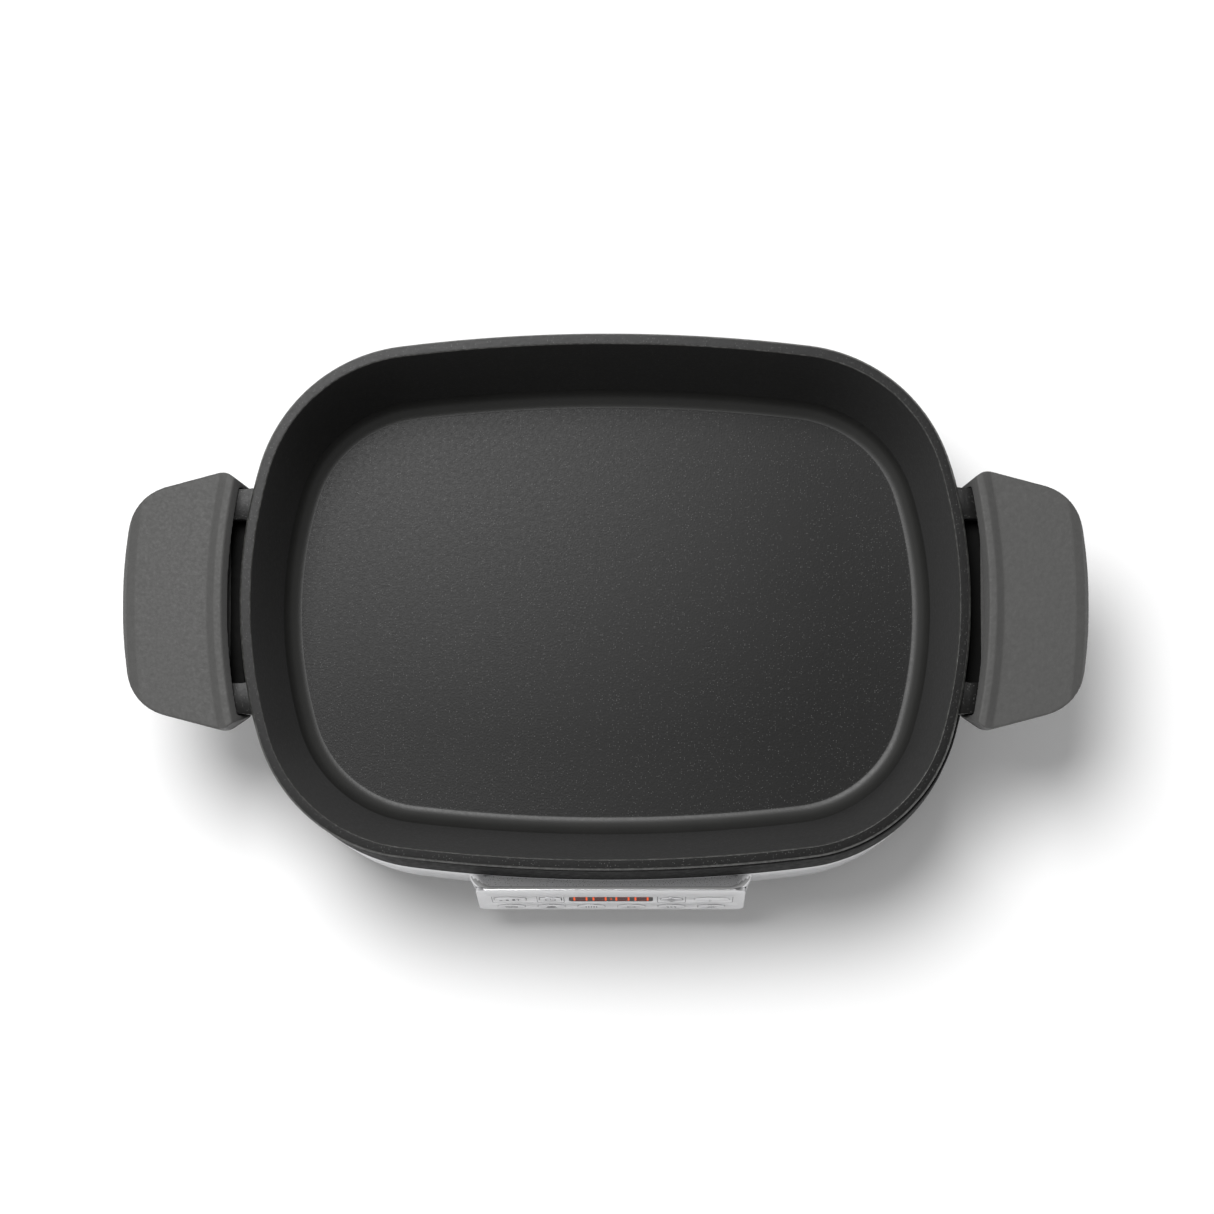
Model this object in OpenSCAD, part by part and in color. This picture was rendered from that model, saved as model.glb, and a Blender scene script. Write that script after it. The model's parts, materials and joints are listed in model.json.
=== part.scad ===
// Electric multi-cooker griddle: a die-cast, non-stick pan that lifts out of a heated base.
// +Z is up, +Y is the rear, and the control panel faces -Y. Millimetres.
// The origin is the centre of the object's footprint, at the bottom of its feet.

/* [Pan] */
// Width of the pan over its rim, side to side
rim_w = 346; // [330:1:360]
// Depth of the pan over its rim, front to rear
rim_d = 255; // [240:1:264]
// Height of the rim above the table
rim_z = 138; // [138:1:142]
// Depth of the pan inside
pan_depth = 76; // [74:1:76]
// Thickness of the pan's floor
floor_t = 5; // [4:0.5:5]
// Draft of the pan's side walls, in degrees
draft = 6.7; // [6.7:0.1:8]
// Flat width of the rim
rim_t = 5.3; // [4.8:0.1:5.6]

/* [Outline] */
// Radius of the rim's corners
corner_r = 79.5; // [70:0.5:85]
// Radius of the bowed front and rear edges
long_r = 790; // [700:10:900]
// Radius of the bowed side edges
short_r = 234; // [220:1:250]

/* [Handles] */
// Half width of each cast handle loop
loop_half = 53.5; // [50:0.5:53.5]
// Distance from the rim's side to the loop's outer edge
loop_reach = 35; // [30:1:36]
// Thickness of the cast loop
loop_t = 9; // [8:0.5:9]
// Distance from the rim's side to the grip's outer edge
grip_reach = 56.4; // [53:0.2:58]

/* [Base] */
// How far the loose pan stands to the left of the base's middle
pan_play = 2.2; // [0:0.1:2.2]
// Height of the rubber feet
foot_h = 5; // [4:1:6]
// Height of the seam between the black skirt and the metal shell
skirt_top = 34; // [33:1:36]
// Height of the seam between the metal shell and the black collar
shell_top = 96; // [95:1:97]
// Height of the collar's top edge
collar_top = 116; // [115:1:116]

/* [Control panel] */
// Width of the fascia
fascia_w = 131; // [128:1:134]
// Height of the fascia along its slope
fascia_h = 48; // [47:1:48]
// Lean of the fascia from the vertical, in degrees
face_tilt = 12.1; // [11:0.1:12.5]
// Pitch of the key columns
key_pitch = 19.8; // [18.5:0.1:20]
// Travel of a key
key_travel = 0.6; // [0.3:0.1:0.8]

/* [Hidden] */
$fn = 48;

half_w = rim_w / 2;
half_d = rim_d / 2;

// ---- Outline: a rounded rectangle with bowed sides, built from concentric arcs ----
// Each quadrant is a short-side arc, a corner arc and a long-side arc that meet on a tangent.
long_c = half_d - long_r;   // y of the long arc's centre, which lies on the Y axis
short_c = half_w - short_r; // x of the short arc's centre, which lies on the X axis
// The corner arc's centre lies long_r - corner_r from one and short_r - corner_r from the other.
centre_gap = norm([short_c, long_c]);
along_gap = (pow(long_r - corner_r, 2) - pow(short_r - corner_r, 2) + pow(centre_gap, 2))
    / (2 * centre_gap);
off_gap = sqrt(pow(long_r - corner_r, 2) - pow(along_gap, 2));
gap_dir = [short_c, -long_c] / centre_gap;
corner_c = [0, long_c] + along_gap * gap_dir + off_gap * [gap_dir[1], -gap_dir[0]];
corner_from = atan2(corner_c[1], corner_c[0] - short_c); // normal's angle where the corner starts
corner_to = atan2(corner_c[1] - long_c, corner_c[0]);    // and where it ends

// Point of the outline, offset outwards by t, whose normal points at angle f of the first quadrant.
function arc_point(f, t) =
    f < corner_from ? [short_c, 0] + (short_r + t) * [cos(f), sin(f)]
    : f > corner_to ? [0, long_c] + (long_r + t) * [cos(f), sin(f)]
    : corner_c + (corner_r + t) * [cos(f), sin(f)];

SIDE_STEPS = 4;
CORNER_STEPS = 8;
quadrant = concat(
    [for (i = [0 : SIDE_STEPS - 1]) corner_from * i / SIDE_STEPS],
    [for (i = [0 : CORNER_STEPS - 1]) corner_from + (corner_to - corner_from) * i / CORNER_STEPS],
    [for (i = [0 : SIDE_STEPS - 1]) corner_to + (90 - corner_to) * i / SIDE_STEPS]
);
steps = len(quadrant);
ring_n = 4 * steps;

// The whole outline, offset by t: the quadrant mirrored four times, without its end point.
function outline(t) = concat(
    [for (f = quadrant) arc_point(f, t)],
    [for (i = [0 : steps - 1]) let (p = arc_point(i == 0 ? 90 : quadrant[steps - i], t)) [-p[0], p[1]]],
    [for (f = quadrant) -arc_point(f, t)],
    [for (i = [0 : steps - 1]) let (p = arc_point(i == 0 ? 90 : quadrant[steps - i], t)) [p[0], -p[1]]]
);

// Side faces between ring r and ring s of a stack of rings.
function band(r, s) = [for (i = [0 : ring_n - 1])
    let (j = (i + 1) % ring_n) [r * ring_n + i, s * ring_n + i, s * ring_n + j, r * ring_n + j]];

// Solid whose skin passes through each [offset, height] ring, closed by a flat cap at each end.
// Its front and rear lean in more than its sides, by the share lean of y for each mm down.
module bowl(rings, lean = 0) {
    last = len(rings) - 1;
    polyhedron(
        points = [for (r = rings) for (p = outline(r[0])) [p[0], p[1] * (1 + lean * r[1]), r[1]]],
        faces = concat(
            [for (r = [0 : last - 1]) each band(r, r + 1)],
            [[for (i = [0 : ring_n - 1]) i]],
            [[for (i = [ring_n - 1 : -1 : 0]) last * ring_n + i]]
        )
    );
}

// Share of x by which the base draws in at its sides, at the height z.
function narrowing(z) = lookup(z, [
    [skirt_top, base_narrow], [shell_top, shell_narrow], [collar_top - 2, 0]
]);

// Hoop with the closed cross-section given by [offset, height] corners.
// A drawn-in hoop follows narrowing() with its corners on and outside the pan's outline.
module hoop(section, drawn_in = false) {
    n = len(section);
    polyhedron(
        points = [for (r = section)
            let (k = drawn_in && r[0] >= 0 ? 1 - narrowing(r[1]) : 1)
            for (p = outline(r[0])) [p[0] * k, p[1], r[1]]],
        faces = [for (r = [0 : n - 1]) each band(r, (r + 1) % n)]
    );
}

module slab(t, z0, z1) {
    translate([0, 0, z0])
        linear_extrude(z1 - z0) polygon(outline(t));
}

// ---- General shapes ----
module rounded_rect(w, h, r) {
    square([w - 2 * r, h], center = true);
    square([w, h - 2 * r], center = true);
    for (x = [-1, 1], y = [-1, 1])
        translate([x * (w / 2 - r), y * (h / 2 - r)]) circle(r);
}

module box_at(centre, size) {
    translate(centre) cube(size, center = true);
}

// Round cable with sides sides along a list of points.
function unit(v) = v / norm(v);
function heading(path, i) = unit(path[min(i + 1, len(path) - 1)] - path[max(i - 1, 0)]);
module cable(path, r, sides = 8) {
    n = len(path);
    points = [for (i = [0 : n - 1])
        let (d = heading(path, i),
             u = unit(cross(d, abs(d[0]) > 0.9 ? [0, 1, 0] : [1, 0, 0])),
             v = cross(d, u))
        for (k = [0 : sides - 1]) path[i] + r * (cos(360 * k / sides) * u + sin(360 * k / sides) * v)];
    polyhedron(points, concat(
        [for (i = [0 : n - 2]) for (k = [0 : sides - 1]) let (m = (k + 1) % sides)
            [i * sides + k, (i + 1) * sides + k, (i + 1) * sides + m, i * sides + m]],
        [[for (k = [0 : sides - 1]) k]],
        [[for (k = [sides - 1 : -1 : 0]) (n - 1) * sides + k]]
    ));
}

// Smooth path through a few points: each is rounded off by a quadratic curve.
function curve(p, steps = 4) = concat(
    [p[0], (p[0] + p[1]) / 2],
    [for (i = [1 : len(p) - 2]) let (a = (p[i - 1] + p[i]) / 2, b = (p[i] + p[i + 1]) / 2)
        for (k = [1 : steps]) let (u = k / steps)
            (1 - u) * (1 - u) * a + 2 * u * (1 - u) * p[i] + u * u * b],
    [p[len(p) - 1]]
);

// ---- Placing: a part is drawn about the middle of the pan or base, then shifted to centre the footprint ----
shell_low_t = 9.5;  // offset of the shell at its bottom
shell_high_t = 4.9; // and at its top
base_narrow = 0.0364;  // share of x by which the sides draw in, at the skirt
shell_narrow = 0.019;  // and at the shell's top
inlet_flange_t = 1.6;
inlet_y = half_d + shell_low_t - 0.1; // rear face of the skirt at the inlet
rear_extent = inlet_y + inlet_flange_t; // outer face of the power inlet's flange
face_top_y = -(half_d + 9);
face_high = shell_top - 3;  // height of the control face's upper edge
face_low = skirt_top + 9;   // and of its lower edge
face_z = (face_high + face_low) / 2;
face_h = (face_high - face_low) / cos(face_tilt);
face_y = face_top_y - face_h / 2 * sin(face_tilt);
housing_front = face_top_y - face_h * sin(face_tilt);
pan_y = -(rear_extent + housing_front) / 2; // y of the pan's centre in the object's own frame
module place() {
    translate([pan_play, pan_y, 0]) children();
}
module place_pan() {
    translate([0, pan_y, 0]) children();
}

// Places a child on the sloping fascia: its x runs right, its y up the slope, its z outwards.
module on_face() {
    translate([0, face_y, face_z])
        rotate([90 - face_tilt, 0, 0]) children();
}

// ---- Pan ----
fillet_in = 9;    // radius between the floor and the wall, inside
fillet_out = 12.5;
end_lean = 0.0005;
lip_drop = 5;     // height of the thick rim
wall_t = 3.65;
// Offset of the fillet's centre, from the wall line through [t0, z0] that leans by draft.
function fillet_centre(t0, z0, zc, r) = t0 - (r + (z0 - zc) * sin(draft)) / cos(draft);
inner_zc = -pan_depth + fillet_in;
inner_tc = fillet_centre(-rim_t, -1, inner_zc, fillet_in);
outer_t0 = -rim_t + wall_t - (lip_drop - 1) * tan(draft);
outer_zc = -pan_depth - floor_t + fillet_out;
outer_tc = fillet_centre(outer_t0, -lip_drop, outer_zc, fillet_out);
FILLET_STEPS = 6;
fillet_angles = [for (i = [0 : FILLET_STEPS]) -90 + (90 - draft) * i / FILLET_STEPS];
pan_rings = concat(
    [for (i = [0 : FILLET_STEPS]) let (f = fillet_angles[i])
        [outer_tc + fillet_out * cos(f), outer_zc + fillet_out * sin(f)]],
    [[outer_t0, -lip_drop], [0, -lip_drop + 1.6], [0, -1], [-0.2, -0.3], [-0.9, 0],
     [-rim_t + 0.9, 0], [-rim_t + 0.3, -0.3], [-rim_t, -1]],
    [for (i = [FILLET_STEPS : -1 : 0]) let (f = fillet_angles[i])
        [inner_tc + fillet_in * cos(f), inner_zc + fillet_in * sin(f)]]
);
pan_base_z = rim_z - pan_depth - floor_t; // underside of the pan

loop_top = -4; // top of the cast loop, below the rim
loop_bar = 12; // width of the loop's crossbar
arm_w = 14.5;  // width of its two arms
loop_corner = 14;

// Plan of the right handle loop, rooted inside the pan's wall.
module loop_plan() {
    out = half_w + loop_reach;
    difference() {
        translate([out - 60, 0]) rounded_rect(120, 2 * loop_half, loop_corner);
        translate([out - loop_bar - 60, 0]) rounded_rect(120, 2 * (loop_half - arm_w), 6);
        polygon(outline(-4.8));
    }
}

module pan_casting() color([0.13, 0.13, 0.13]) {
    translate([0, 0, rim_z]) {
        bowl(pan_rings, end_lean);
        for (s = [0, 1])
            mirror([s, 0, 0])
                translate([0, 0, loop_top - loop_t]) linear_extrude(loop_t) loop_plan();
    }
}

// ---- Grips: silicone sleeves pulled over the cast loops ----
ridge_r = 290;               // radius of the thumb ridge's inner edge in plan
ridge_x = half_w + 8;        // its distance from the pan's centre
grip_end = half_w + grip_reach;
grip_half = 61.4;            // half width at the ridge
grip_corner = 25;
outer_bow_r = 220;           // radius of the outer edge in plan
grip_wall = 2.2;
fit_gap = 0.35;

// Cross-section of the grip as [distance from the ridge's inner edge, height over the rim].
grip_section = [
    [0, 2.4], [0.6, 3], [4, 3], [7.4, 0.1], [42, -1.6], [46, -3.2], [48.2, -6], [48.4, -8.5],
    [46, -13.5], [41, -16.5], [2, -21], [-5, -21], [-6.5, -19.6], [-6.6, -17.5]
];

// Points of an arc about c, from angle a0 to a1 in n steps.
function arc(c, r, a0, a1, n) = [for (i = [0 : n])
    let (a = a0 + (a1 - a0) * i / n) c + r * [cos(a), sin(a)]];
// A half outline, drawn for y > 0, closed by its own mirror image.
function both_sides(half) = concat(half, [for (i = [len(half) - 1 : -1 : 0]) [half[i][0], -half[i][1]]]);

// Plan of the grip: tapered ears towards the pan, rounded corners and a bowed outer edge.
bow_x = grip_end - outer_bow_r;
corner_y = grip_half - 6.3 - grip_corner;
corner_x = bow_x + sqrt(pow(outer_bow_r - grip_corner, 2) - corner_y * corner_y);
bow_angle = atan2(corner_y, corner_x - bow_x);
grip_taper = atan2(6.3, corner_x - ridge_x);
module grip_plan() {
    polygon(both_sides(concat(
        [[ridge_x - 15, 52], [ridge_x - 11, 54.6], [ridge_x - 3.1, grip_half - 1.4],
         [ridge_x - 1.25, grip_half - 0.6], [ridge_x + 1.5, grip_half - 0.35]],
        arc([corner_x, corner_y], grip_corner, 90 - grip_taper, bow_angle, 8),
        [for (i = [1 : 3]) [bow_x, 0] + outer_bow_r * [cos(bow_angle * (1 - i / 3.5)), sin(bow_angle * (1 - i / 3.5))]]
    )));
}

module grip_body() {
    intersection() {
        translate([0, 0, -25]) linear_extrude(30) grip_plan();
        translate([ridge_x - ridge_r, 0, 0])
            rotate([0, 0, -20]) rotate_extrude(angle = 40)
                polygon([for (p = grip_section) [p[0] + ridge_r, p[1]]]);
    }
}

// Space inside the grip: a close fit round the loop, and a wide mouth where the arms go in.
module grip_cavity() {
    out = half_w + loop_reach + fit_gap;
    mouth_top = -1.6;
    translate([0, 0, loop_top - loop_t - fit_gap]) linear_extrude(loop_t + 2 * fit_gap)
        polygon(both_sides(concat(
            [[ridge_x - 30, loop_half + fit_gap]],
            arc([out - loop_corner, loop_half + fit_gap - loop_corner], loop_corner, 90, 0, 6)
        )));
    translate([0, 0, loop_top - loop_t - 4.4]) linear_extrude(loop_t + 4.4 + mouth_top)
        polygon([
            [ridge_x - 30, -44], [ridge_x - 11, -52.2], [ridge_x - 3, -57], [ridge_x + 4, -57],
            [ridge_x + 4, 57], [ridge_x - 3, 57], [ridge_x - 11, 52.2], [ridge_x - 30, 44]
        ]);
}

module grip() color([0.36, 0.36, 0.35])
    translate([0, 0, rim_z])
        difference() {
            grip_body();
            grip_cavity();
        }
module right_grip() grip();
module left_grip() mirror([1, 0, 0]) grip();

// ---- Base shells ----
seam = 0.2;
sheet_t = 1.2;

// Lifting ledge on each side of the base, under the pan's grip: a flat plate with a lip turned down.
ledge_reach = 30; // from the rim's side
ledge_half = 44;  // half its length
ledge_corner = 14;
ledge_root_t = 0.3; // offset of its root, inside the collar's wall
ledge_top = collar_top - 12;
ledge_t = 4;
lip_drop_z = 8;   // depth of the lip under the plate
lip_t = 3.2;
module ledge_plan(inset = 0)
    translate([half_w + ledge_reach - 60, 0])
        rounded_rect(120 - 2 * inset, 2 * (ledge_half - inset), ledge_corner - inset);
module ledge() {
    translate([0, 0, ledge_top - ledge_t]) linear_extrude(ledge_t)
        difference() {
            ledge_plan();
            polygon(outline(ledge_root_t));
        }
    translate([0, 0, ledge_top - ledge_t - lip_drop_z]) linear_extrude(lip_drop_z + 1)
        difference() {
            ledge_plan();
            ledge_plan(lip_t);
            polygon(outline(shell_low_t + 2));
        }
}

module top_collar() color([0.1, 0.1, 0.1]) {
    hoop([
        [shell_high_t, shell_top], [0.8, collar_top - 1.6], [0.1, collar_top],
        [-1.4, collar_top], [-1.7, collar_top - 0.5], [-2.9, collar_top - 11],
        [-0.9, collar_top - 11], [-0.2, collar_top - 6], [shell_high_t - 3.2, shell_top + 1],
        [shell_high_t - 3.2, shell_top - 6], [shell_high_t - 1.5, shell_top - 6],
        [shell_high_t - 1.5, shell_top]
    ], drawn_in = true);
    for (s = [0, 1])
        mirror([s, 0, 0]) ledge();
}

opening_w = 124; // width of the opening behind the control housing
module outer_shell() color([0.72, 0.72, 0.72])
    difference() {
        hoop([
            [shell_low_t, skirt_top + seam], [shell_high_t, shell_top - seam],
            [shell_high_t - sheet_t, shell_top - seam], [shell_low_t - sheet_t, skirt_top + seam]
        ], drawn_in = true);
        box_at([0, -half_d, face_z], [opening_w, 30, 34]);
    }

inlet_z = 21;
inlet_w = 28.5; // body of the inlet, as in an IEC 60320 C14 cut-out
inlet_h = 20.5;
skirt_low = foot_h;
module base_skirt() color([0.1, 0.1, 0.1])
    difference() {
        hoop([
            [shell_low_t - 4.5, skirt_low], [shell_low_t - 2.2, skirt_low + 1],
            [shell_low_t - 1.4, skirt_low + 3.5], [shell_low_t - 0.2, skirt_top],
            [shell_low_t - 1.8, skirt_top], [shell_low_t - 1.8, skirt_top + 5],
            [shell_low_t - 3.2, skirt_top + 5], [shell_low_t - 3.7, skirt_low + 6],
            [-14, skirt_low + 6], [-14, skirt_low + 3], [2, skirt_low + 3], [2, skirt_low]
        ], drawn_in = true);
        box_at([0, half_d, inlet_z], [inlet_w, 30, inlet_h]);
        for (p = cover_screw_places)
            translate([p[0], p[1], 0]) cylinder(r = 1.6, h = 40);
    }

cover_t = 1.7; // offset of the cover's edge, inside the skirt
cover_screw_places = [for (x = [-1, 1], y = [-1, 1]) [x * 134.5, y * 94], for (x = [-1, 1]) [x * 163.5, 0]];
foot_places = [for (x = [-1, 1], y = [-1, 1]) [x * 118, y * 74]];
module base_cover() color([0.12, 0.12, 0.12])
    difference() {
        scale([1 - base_narrow, 1, 1]) slab(cover_t, skirt_low, skirt_low + 2.8);
        for (x = [-3.5 : 1 : 3.5], y = [-1, 1])
            translate([x * 14, y * 44, 0]) linear_extrude(20) rounded_rect(4, 34, 1.9);
        for (p = cover_screw_places)
            translate([p[0], p[1], 0]) cylinder(r = 2.2, h = 20);
        for (p = foot_places)
            translate([p[0], p[1], 0]) cylinder(r = 4, h = 20);
    }

module rubber_feet() color([0.08, 0.08, 0.08])
    for (p = foot_places)
        translate([p[0], p[1], 0]) {
            cylinder(r1 = 9.2, r2 = 10, h = foot_h);
            cylinder(r = 3.7, h = foot_h + 5);
        }

screw_head_t = 2.2;
module cover_screws() color([0.6, 0.6, 0.6])
    for (p = cover_screw_places)
        translate([p[0], p[1], skirt_low - screw_head_t]) {
            difference() {
                cylinder(r = 3.8, h = screw_head_t);
                for (a = [0, 90])
                    rotate([0, 0, a]) box_at([0, 0, 0], [4.6, 0.9, 2.4]);
            }
            cylinder(r = 1.5, h = 12);
        }

// ---- Heater ----
liner_floor_z = pan_base_z - 8;
plate_gap = 0.1;
liner_t = 0.8;
plate_t_off = -40;   // offset of the heating plate's edge
liner_hole_t = -50;  // offset of the hole under it
flange_t = -1.0;     // offset of the liner's flange
liner_top_t = -2.8;  // offset of the liner's wall at its flange
liner_top_z = collar_top - 11.2;
liner_low_t = -6.2;
module inner_liner() color([0.62, 0.62, 0.61])
    difference() {
        hoop([
            [flange_t, liner_top_z], [liner_top_t, liner_top_z], [liner_low_t, liner_floor_z + 26],
            [-7.5, liner_floor_z + 16], [-10, liner_floor_z + 8.5], [-17, liner_floor_z + 2.5],
            [-24, liner_floor_z], [liner_hole_t, liner_floor_z], [liner_hole_t, liner_floor_z - liner_t],
            [-24 + 0.3, liner_floor_z - liner_t], [-17 + 0.6, liner_floor_z + 2.5 - liner_t],
            [-10 + liner_t, liner_floor_z + 8], [-7.5 + liner_t, liner_floor_z + 15.9],
            [liner_low_t + liner_t, liner_floor_z + 25.8],
            [liner_top_t + liner_t, liner_top_z - liner_t], [flange_t, liner_top_z - liner_t]
        ]);
        for (p = clamp_places)
            translate([p[0], p[1], 0]) cylinder(r = 2.6, h = 80);
    }

plate_low = liner_floor_z + 0.1;
plate_high = pan_base_z - plate_gap;
sensor_hole_r = 15;
clamp_places = [for (x = [-1, 1], y = [-1, 1]) [x * 116, y * 64]];
module heating_plate() color([0.66, 0.66, 0.67])
    difference() {
        union() {
            slab(plate_t_off, plate_low, plate_high);
            slab(liner_hole_t - 3, plate_low - 3, plate_low + 1);
        }
        translate([0, 0, 30]) cylinder(r = sensor_hole_r, h = 40);
        for (p = clamp_places)
            translate([p[0], p[1], 30]) cylinder(r = 2.1, h = plate_high - 30 - 3);
    }

element_r = 4;
element_z = plate_low - 3 - element_r - 0.1;
element_t = -78;       // offset of the element's centreline
terminal_x = 18;       // half the gap between its two ends
element_ring = [for (p = outline(element_t)) [p[0], p[1], element_z]];
// The loop starts and ends at the front, where both ends run forwards and stop.
element_front = -(half_d + element_t);
element_path = concat(
    [[terminal_x, element_front - 22, element_z], [terminal_x, element_front - 6, element_z]],
    [[terminal_x + 5, element_front, element_z]],
    [for (i = [0 : ring_n - 1]) let (p = element_ring[(i + 3 * steps + 3) % ring_n])
        if (p[1] > element_front + 0.1 || abs(p[0]) > terminal_x + 12) p],
    [[-terminal_x - 5, element_front, element_z]],
    [[-terminal_x, element_front - 6, element_z], [-terminal_x, element_front - 22, element_z]]
);
module heating_element() color([0.3, 0.28, 0.27]) {
    cable(element_path, element_r, 8);
    for (s = [-1, 1])
        translate([s * terminal_x, element_front - 34, element_z])
            rotate([-90, 0, 0]) cylinder(r = 1.6, h = 12);
}

module element_insulators() color([0.9, 0.89, 0.85])
    for (s = [-1, 1])
        translate([s * terminal_x, element_front - 28, element_z]) rotate([-90, 0, 0])
            difference() {
                cylinder(r = element_r, h = 5.9);
                translate([0, 0, -1]) cylinder(r = 1.7, h = 8);
            }

clamp_z = liner_floor_z - liner_t - 0.1;
module plate_clamps() color([0.7, 0.7, 0.7])
    for (p = clamp_places)
        translate([p[0], p[1], clamp_z - 2])
            difference() {
                cylinder(r = 7, h = 2);
                translate([0, 0, -1]) cylinder(r = 2.3, h = 4);
            }

module plate_nuts() color([0.75, 0.72, 0.6])
    for (p = clamp_places)
        translate([p[0], p[1], clamp_z - 2]) {
            translate([0, 0, -3.3]) cylinder(r = 4, h = 3.2, $fn = 6);
            cylinder(r = 2, h = plate_high - 3.4 - clamp_z + 2);
        }

// ---- Temperature sensor: a sprung cap that bears on the pan's underside ----
cap_top = pan_base_z - plate_gap;
cap_r = 11;
bracket_z = element_z - 12;
module sensor_cap() color([0.75, 0.75, 0.76])
    difference() {
        union() {
            translate([0, 0, cap_top - 9]) cylinder(r = cap_r, h = 9);
            translate([0, 0, cap_top - 10]) cylinder(r = cap_r + 2, h = 1.5);
        }
        translate([0, 0, cap_top - 20]) cylinder(r = cap_r - 1.2, h = 18.8);
    }

spring_r = 7;
spring_low = bracket_z + 1.6;
spring_high = cap_top - 2;
spring_turns = 5;
module sensor_spring() color([0.7, 0.7, 0.7])
    cable([for (i = [0 : 12 * spring_turns])
        [spring_r * cos(30 * i), spring_r * sin(30 * i),
         spring_low + 0.9 + (spring_high - spring_low - 1.8) * i / (12 * spring_turns)]], 0.7, 6);

// The strap's legs stand clear of the cap's flange, which comes down between them.
strap_t = 1.4;
leg_x = 15.3;
foot_x = 21.3; // middle of the feet that are screwed under the heating plate
module sensor_bracket() color([0.68, 0.68, 0.68])
    difference() {
        union() {
            box_at([0, 0, bracket_z + strap_t / 2], [2 * leg_x + strap_t, 26, strap_t]);
            for (s = [-1, 1]) {
                box_at([s * leg_x, 0, (bracket_z + plate_low - 3) / 2], [strap_t, 26, plate_low - 3.2 - bracket_z]);
                box_at([s * foot_x, 0, plate_low - 3.9], [2 * (foot_x - leg_x) + strap_t, 26, strap_t]);
            }
        }
        translate([0, 0, bracket_z - 1]) cylinder(r = 4, h = 4);
    }

fuse_place = [58, 0, plate_low - 3 - 3.2];
module thermal_fuse() color([0.8, 0.76, 0.6])
    translate(fuse_place) rotate([0, 90, 0]) {
        translate([0, 0, -6]) cylinder(r = 2, h = 12);
        translate([0, 0, -14]) cylinder(r = 0.6, h = 28);
    }

module fuse_clip() color([0.7, 0.7, 0.7])
    translate(fuse_place) difference() {
        translate([0, 0, 0.1]) cube([8, 14, 6], center = true);
        rotate([0, 90, 0]) translate([0, 0, -5]) cylinder(r = 2.1, h = 10);
        for (s = [-1, 1])
            translate([0, s * 6, -2]) cube([10, 7, 6], center = true);
    }

// ---- Heat shield ----
shield_z = 25;
shield_t = -34;
module heat_shield() color([0.75, 0.75, 0.75])
    difference() {
        union() {
            hoop([
                [shield_t, shield_z], [shield_t, shield_z + 5], [shield_t - 1, shield_z + 5],
                [shield_t - 1, shield_z]
            ]);
            slab(shield_t - 0.5, shield_z, shield_z + 1);
        }
        for (p = post_places)
            translate([p[0], p[1], 0]) cylinder(r = 1.7, h = 60);
        box_at([0, -78, shield_z], [70, 22, 8]); // slot for the heater's leads
    }

post_places = [for (x = [-1, 1], y = [-1, 1]) [x * 98, y * 50]];
module shield_posts() color([0.15, 0.15, 0.15])
    for (p = post_places)
        translate([p[0], p[1], skirt_low + 2.8]) {
            cylinder(r = 4, h = shield_z - skirt_low - 2.8);
            cylinder(r = 1.5, h = shield_z - skirt_low + 1);
        }

// ---- Power inlet ----
socket_w = 24.6;
socket_h = 17;
socket_deep = 17;
module power_inlet() color([0.08, 0.08, 0.08])
    translate([0, inlet_y, inlet_z]) rotate([-90, 0, 0])
        difference() {
            union() {
                linear_extrude(inlet_flange_t) rounded_rect(inlet_w + 5, inlet_h + 5, 2.5);
                translate([0, 0, -20]) linear_extrude(20.2) square([inlet_w - 0.6, inlet_h - 0.6], center = true);
            }
            translate([0, 0, inlet_flange_t - socket_deep]) linear_extrude(30)
                polygon([
                    [-socket_w / 2, socket_h / 2], [socket_w / 2, socket_h / 2], [socket_w / 2, -3.5],
                    [socket_w / 2 - 5, -socket_h / 2], [-socket_w / 2 + 5, -socket_h / 2], [-socket_w / 2, -3.5]
                ]);
            for (p = pin_places)
                translate([p[0], p[1], -25]) linear_extrude(20) square([2.2, 4.2], center = true);
        }

pin_places = [[-7, 2], [0, -2], [7, 2]];
module inlet_pins() color([0.8, 0.75, 0.55])
    translate([0, inlet_y, inlet_z]) rotate([-90, 0, 0])
        for (p = pin_places)
            translate([p[0], p[1], -28]) linear_extrude(27) square([2, 4], center = true);

// ---- Electronics under the heat shield ----
board_z = skirt_low + 2.8 + 3;
board_centre = [62, -10];
module power_board() color([0.1, 0.35, 0.2]) {
    difference() {
        box_at([board_centre[0], board_centre[1], board_z + 0.8], [92, 62, 1.6]);
        for (p = board_screw_places)
            translate([p[0], p[1], 0]) cylinder(r = 1.7, h = 40);
    }
}
board_screw_places = [for (x = [-1, 1], y = [-1, 1]) [board_centre[0] + x * 41, board_centre[1] + y * 26]];
module board_screws() color([0.6, 0.6, 0.6])
    for (p = board_screw_places)
        translate([p[0], p[1], board_z - 3]) {
            difference() {
                cylinder(r = 3.2, h = 2.9);
                translate([0, 0, -1]) cylinder(r = 1.6, h = 5);
            }
            cylinder(r = 1.5, h = 4.7);
            translate([0, 0, 4.7]) cylinder(r = 2.8, h = 1.4);
        }

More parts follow.
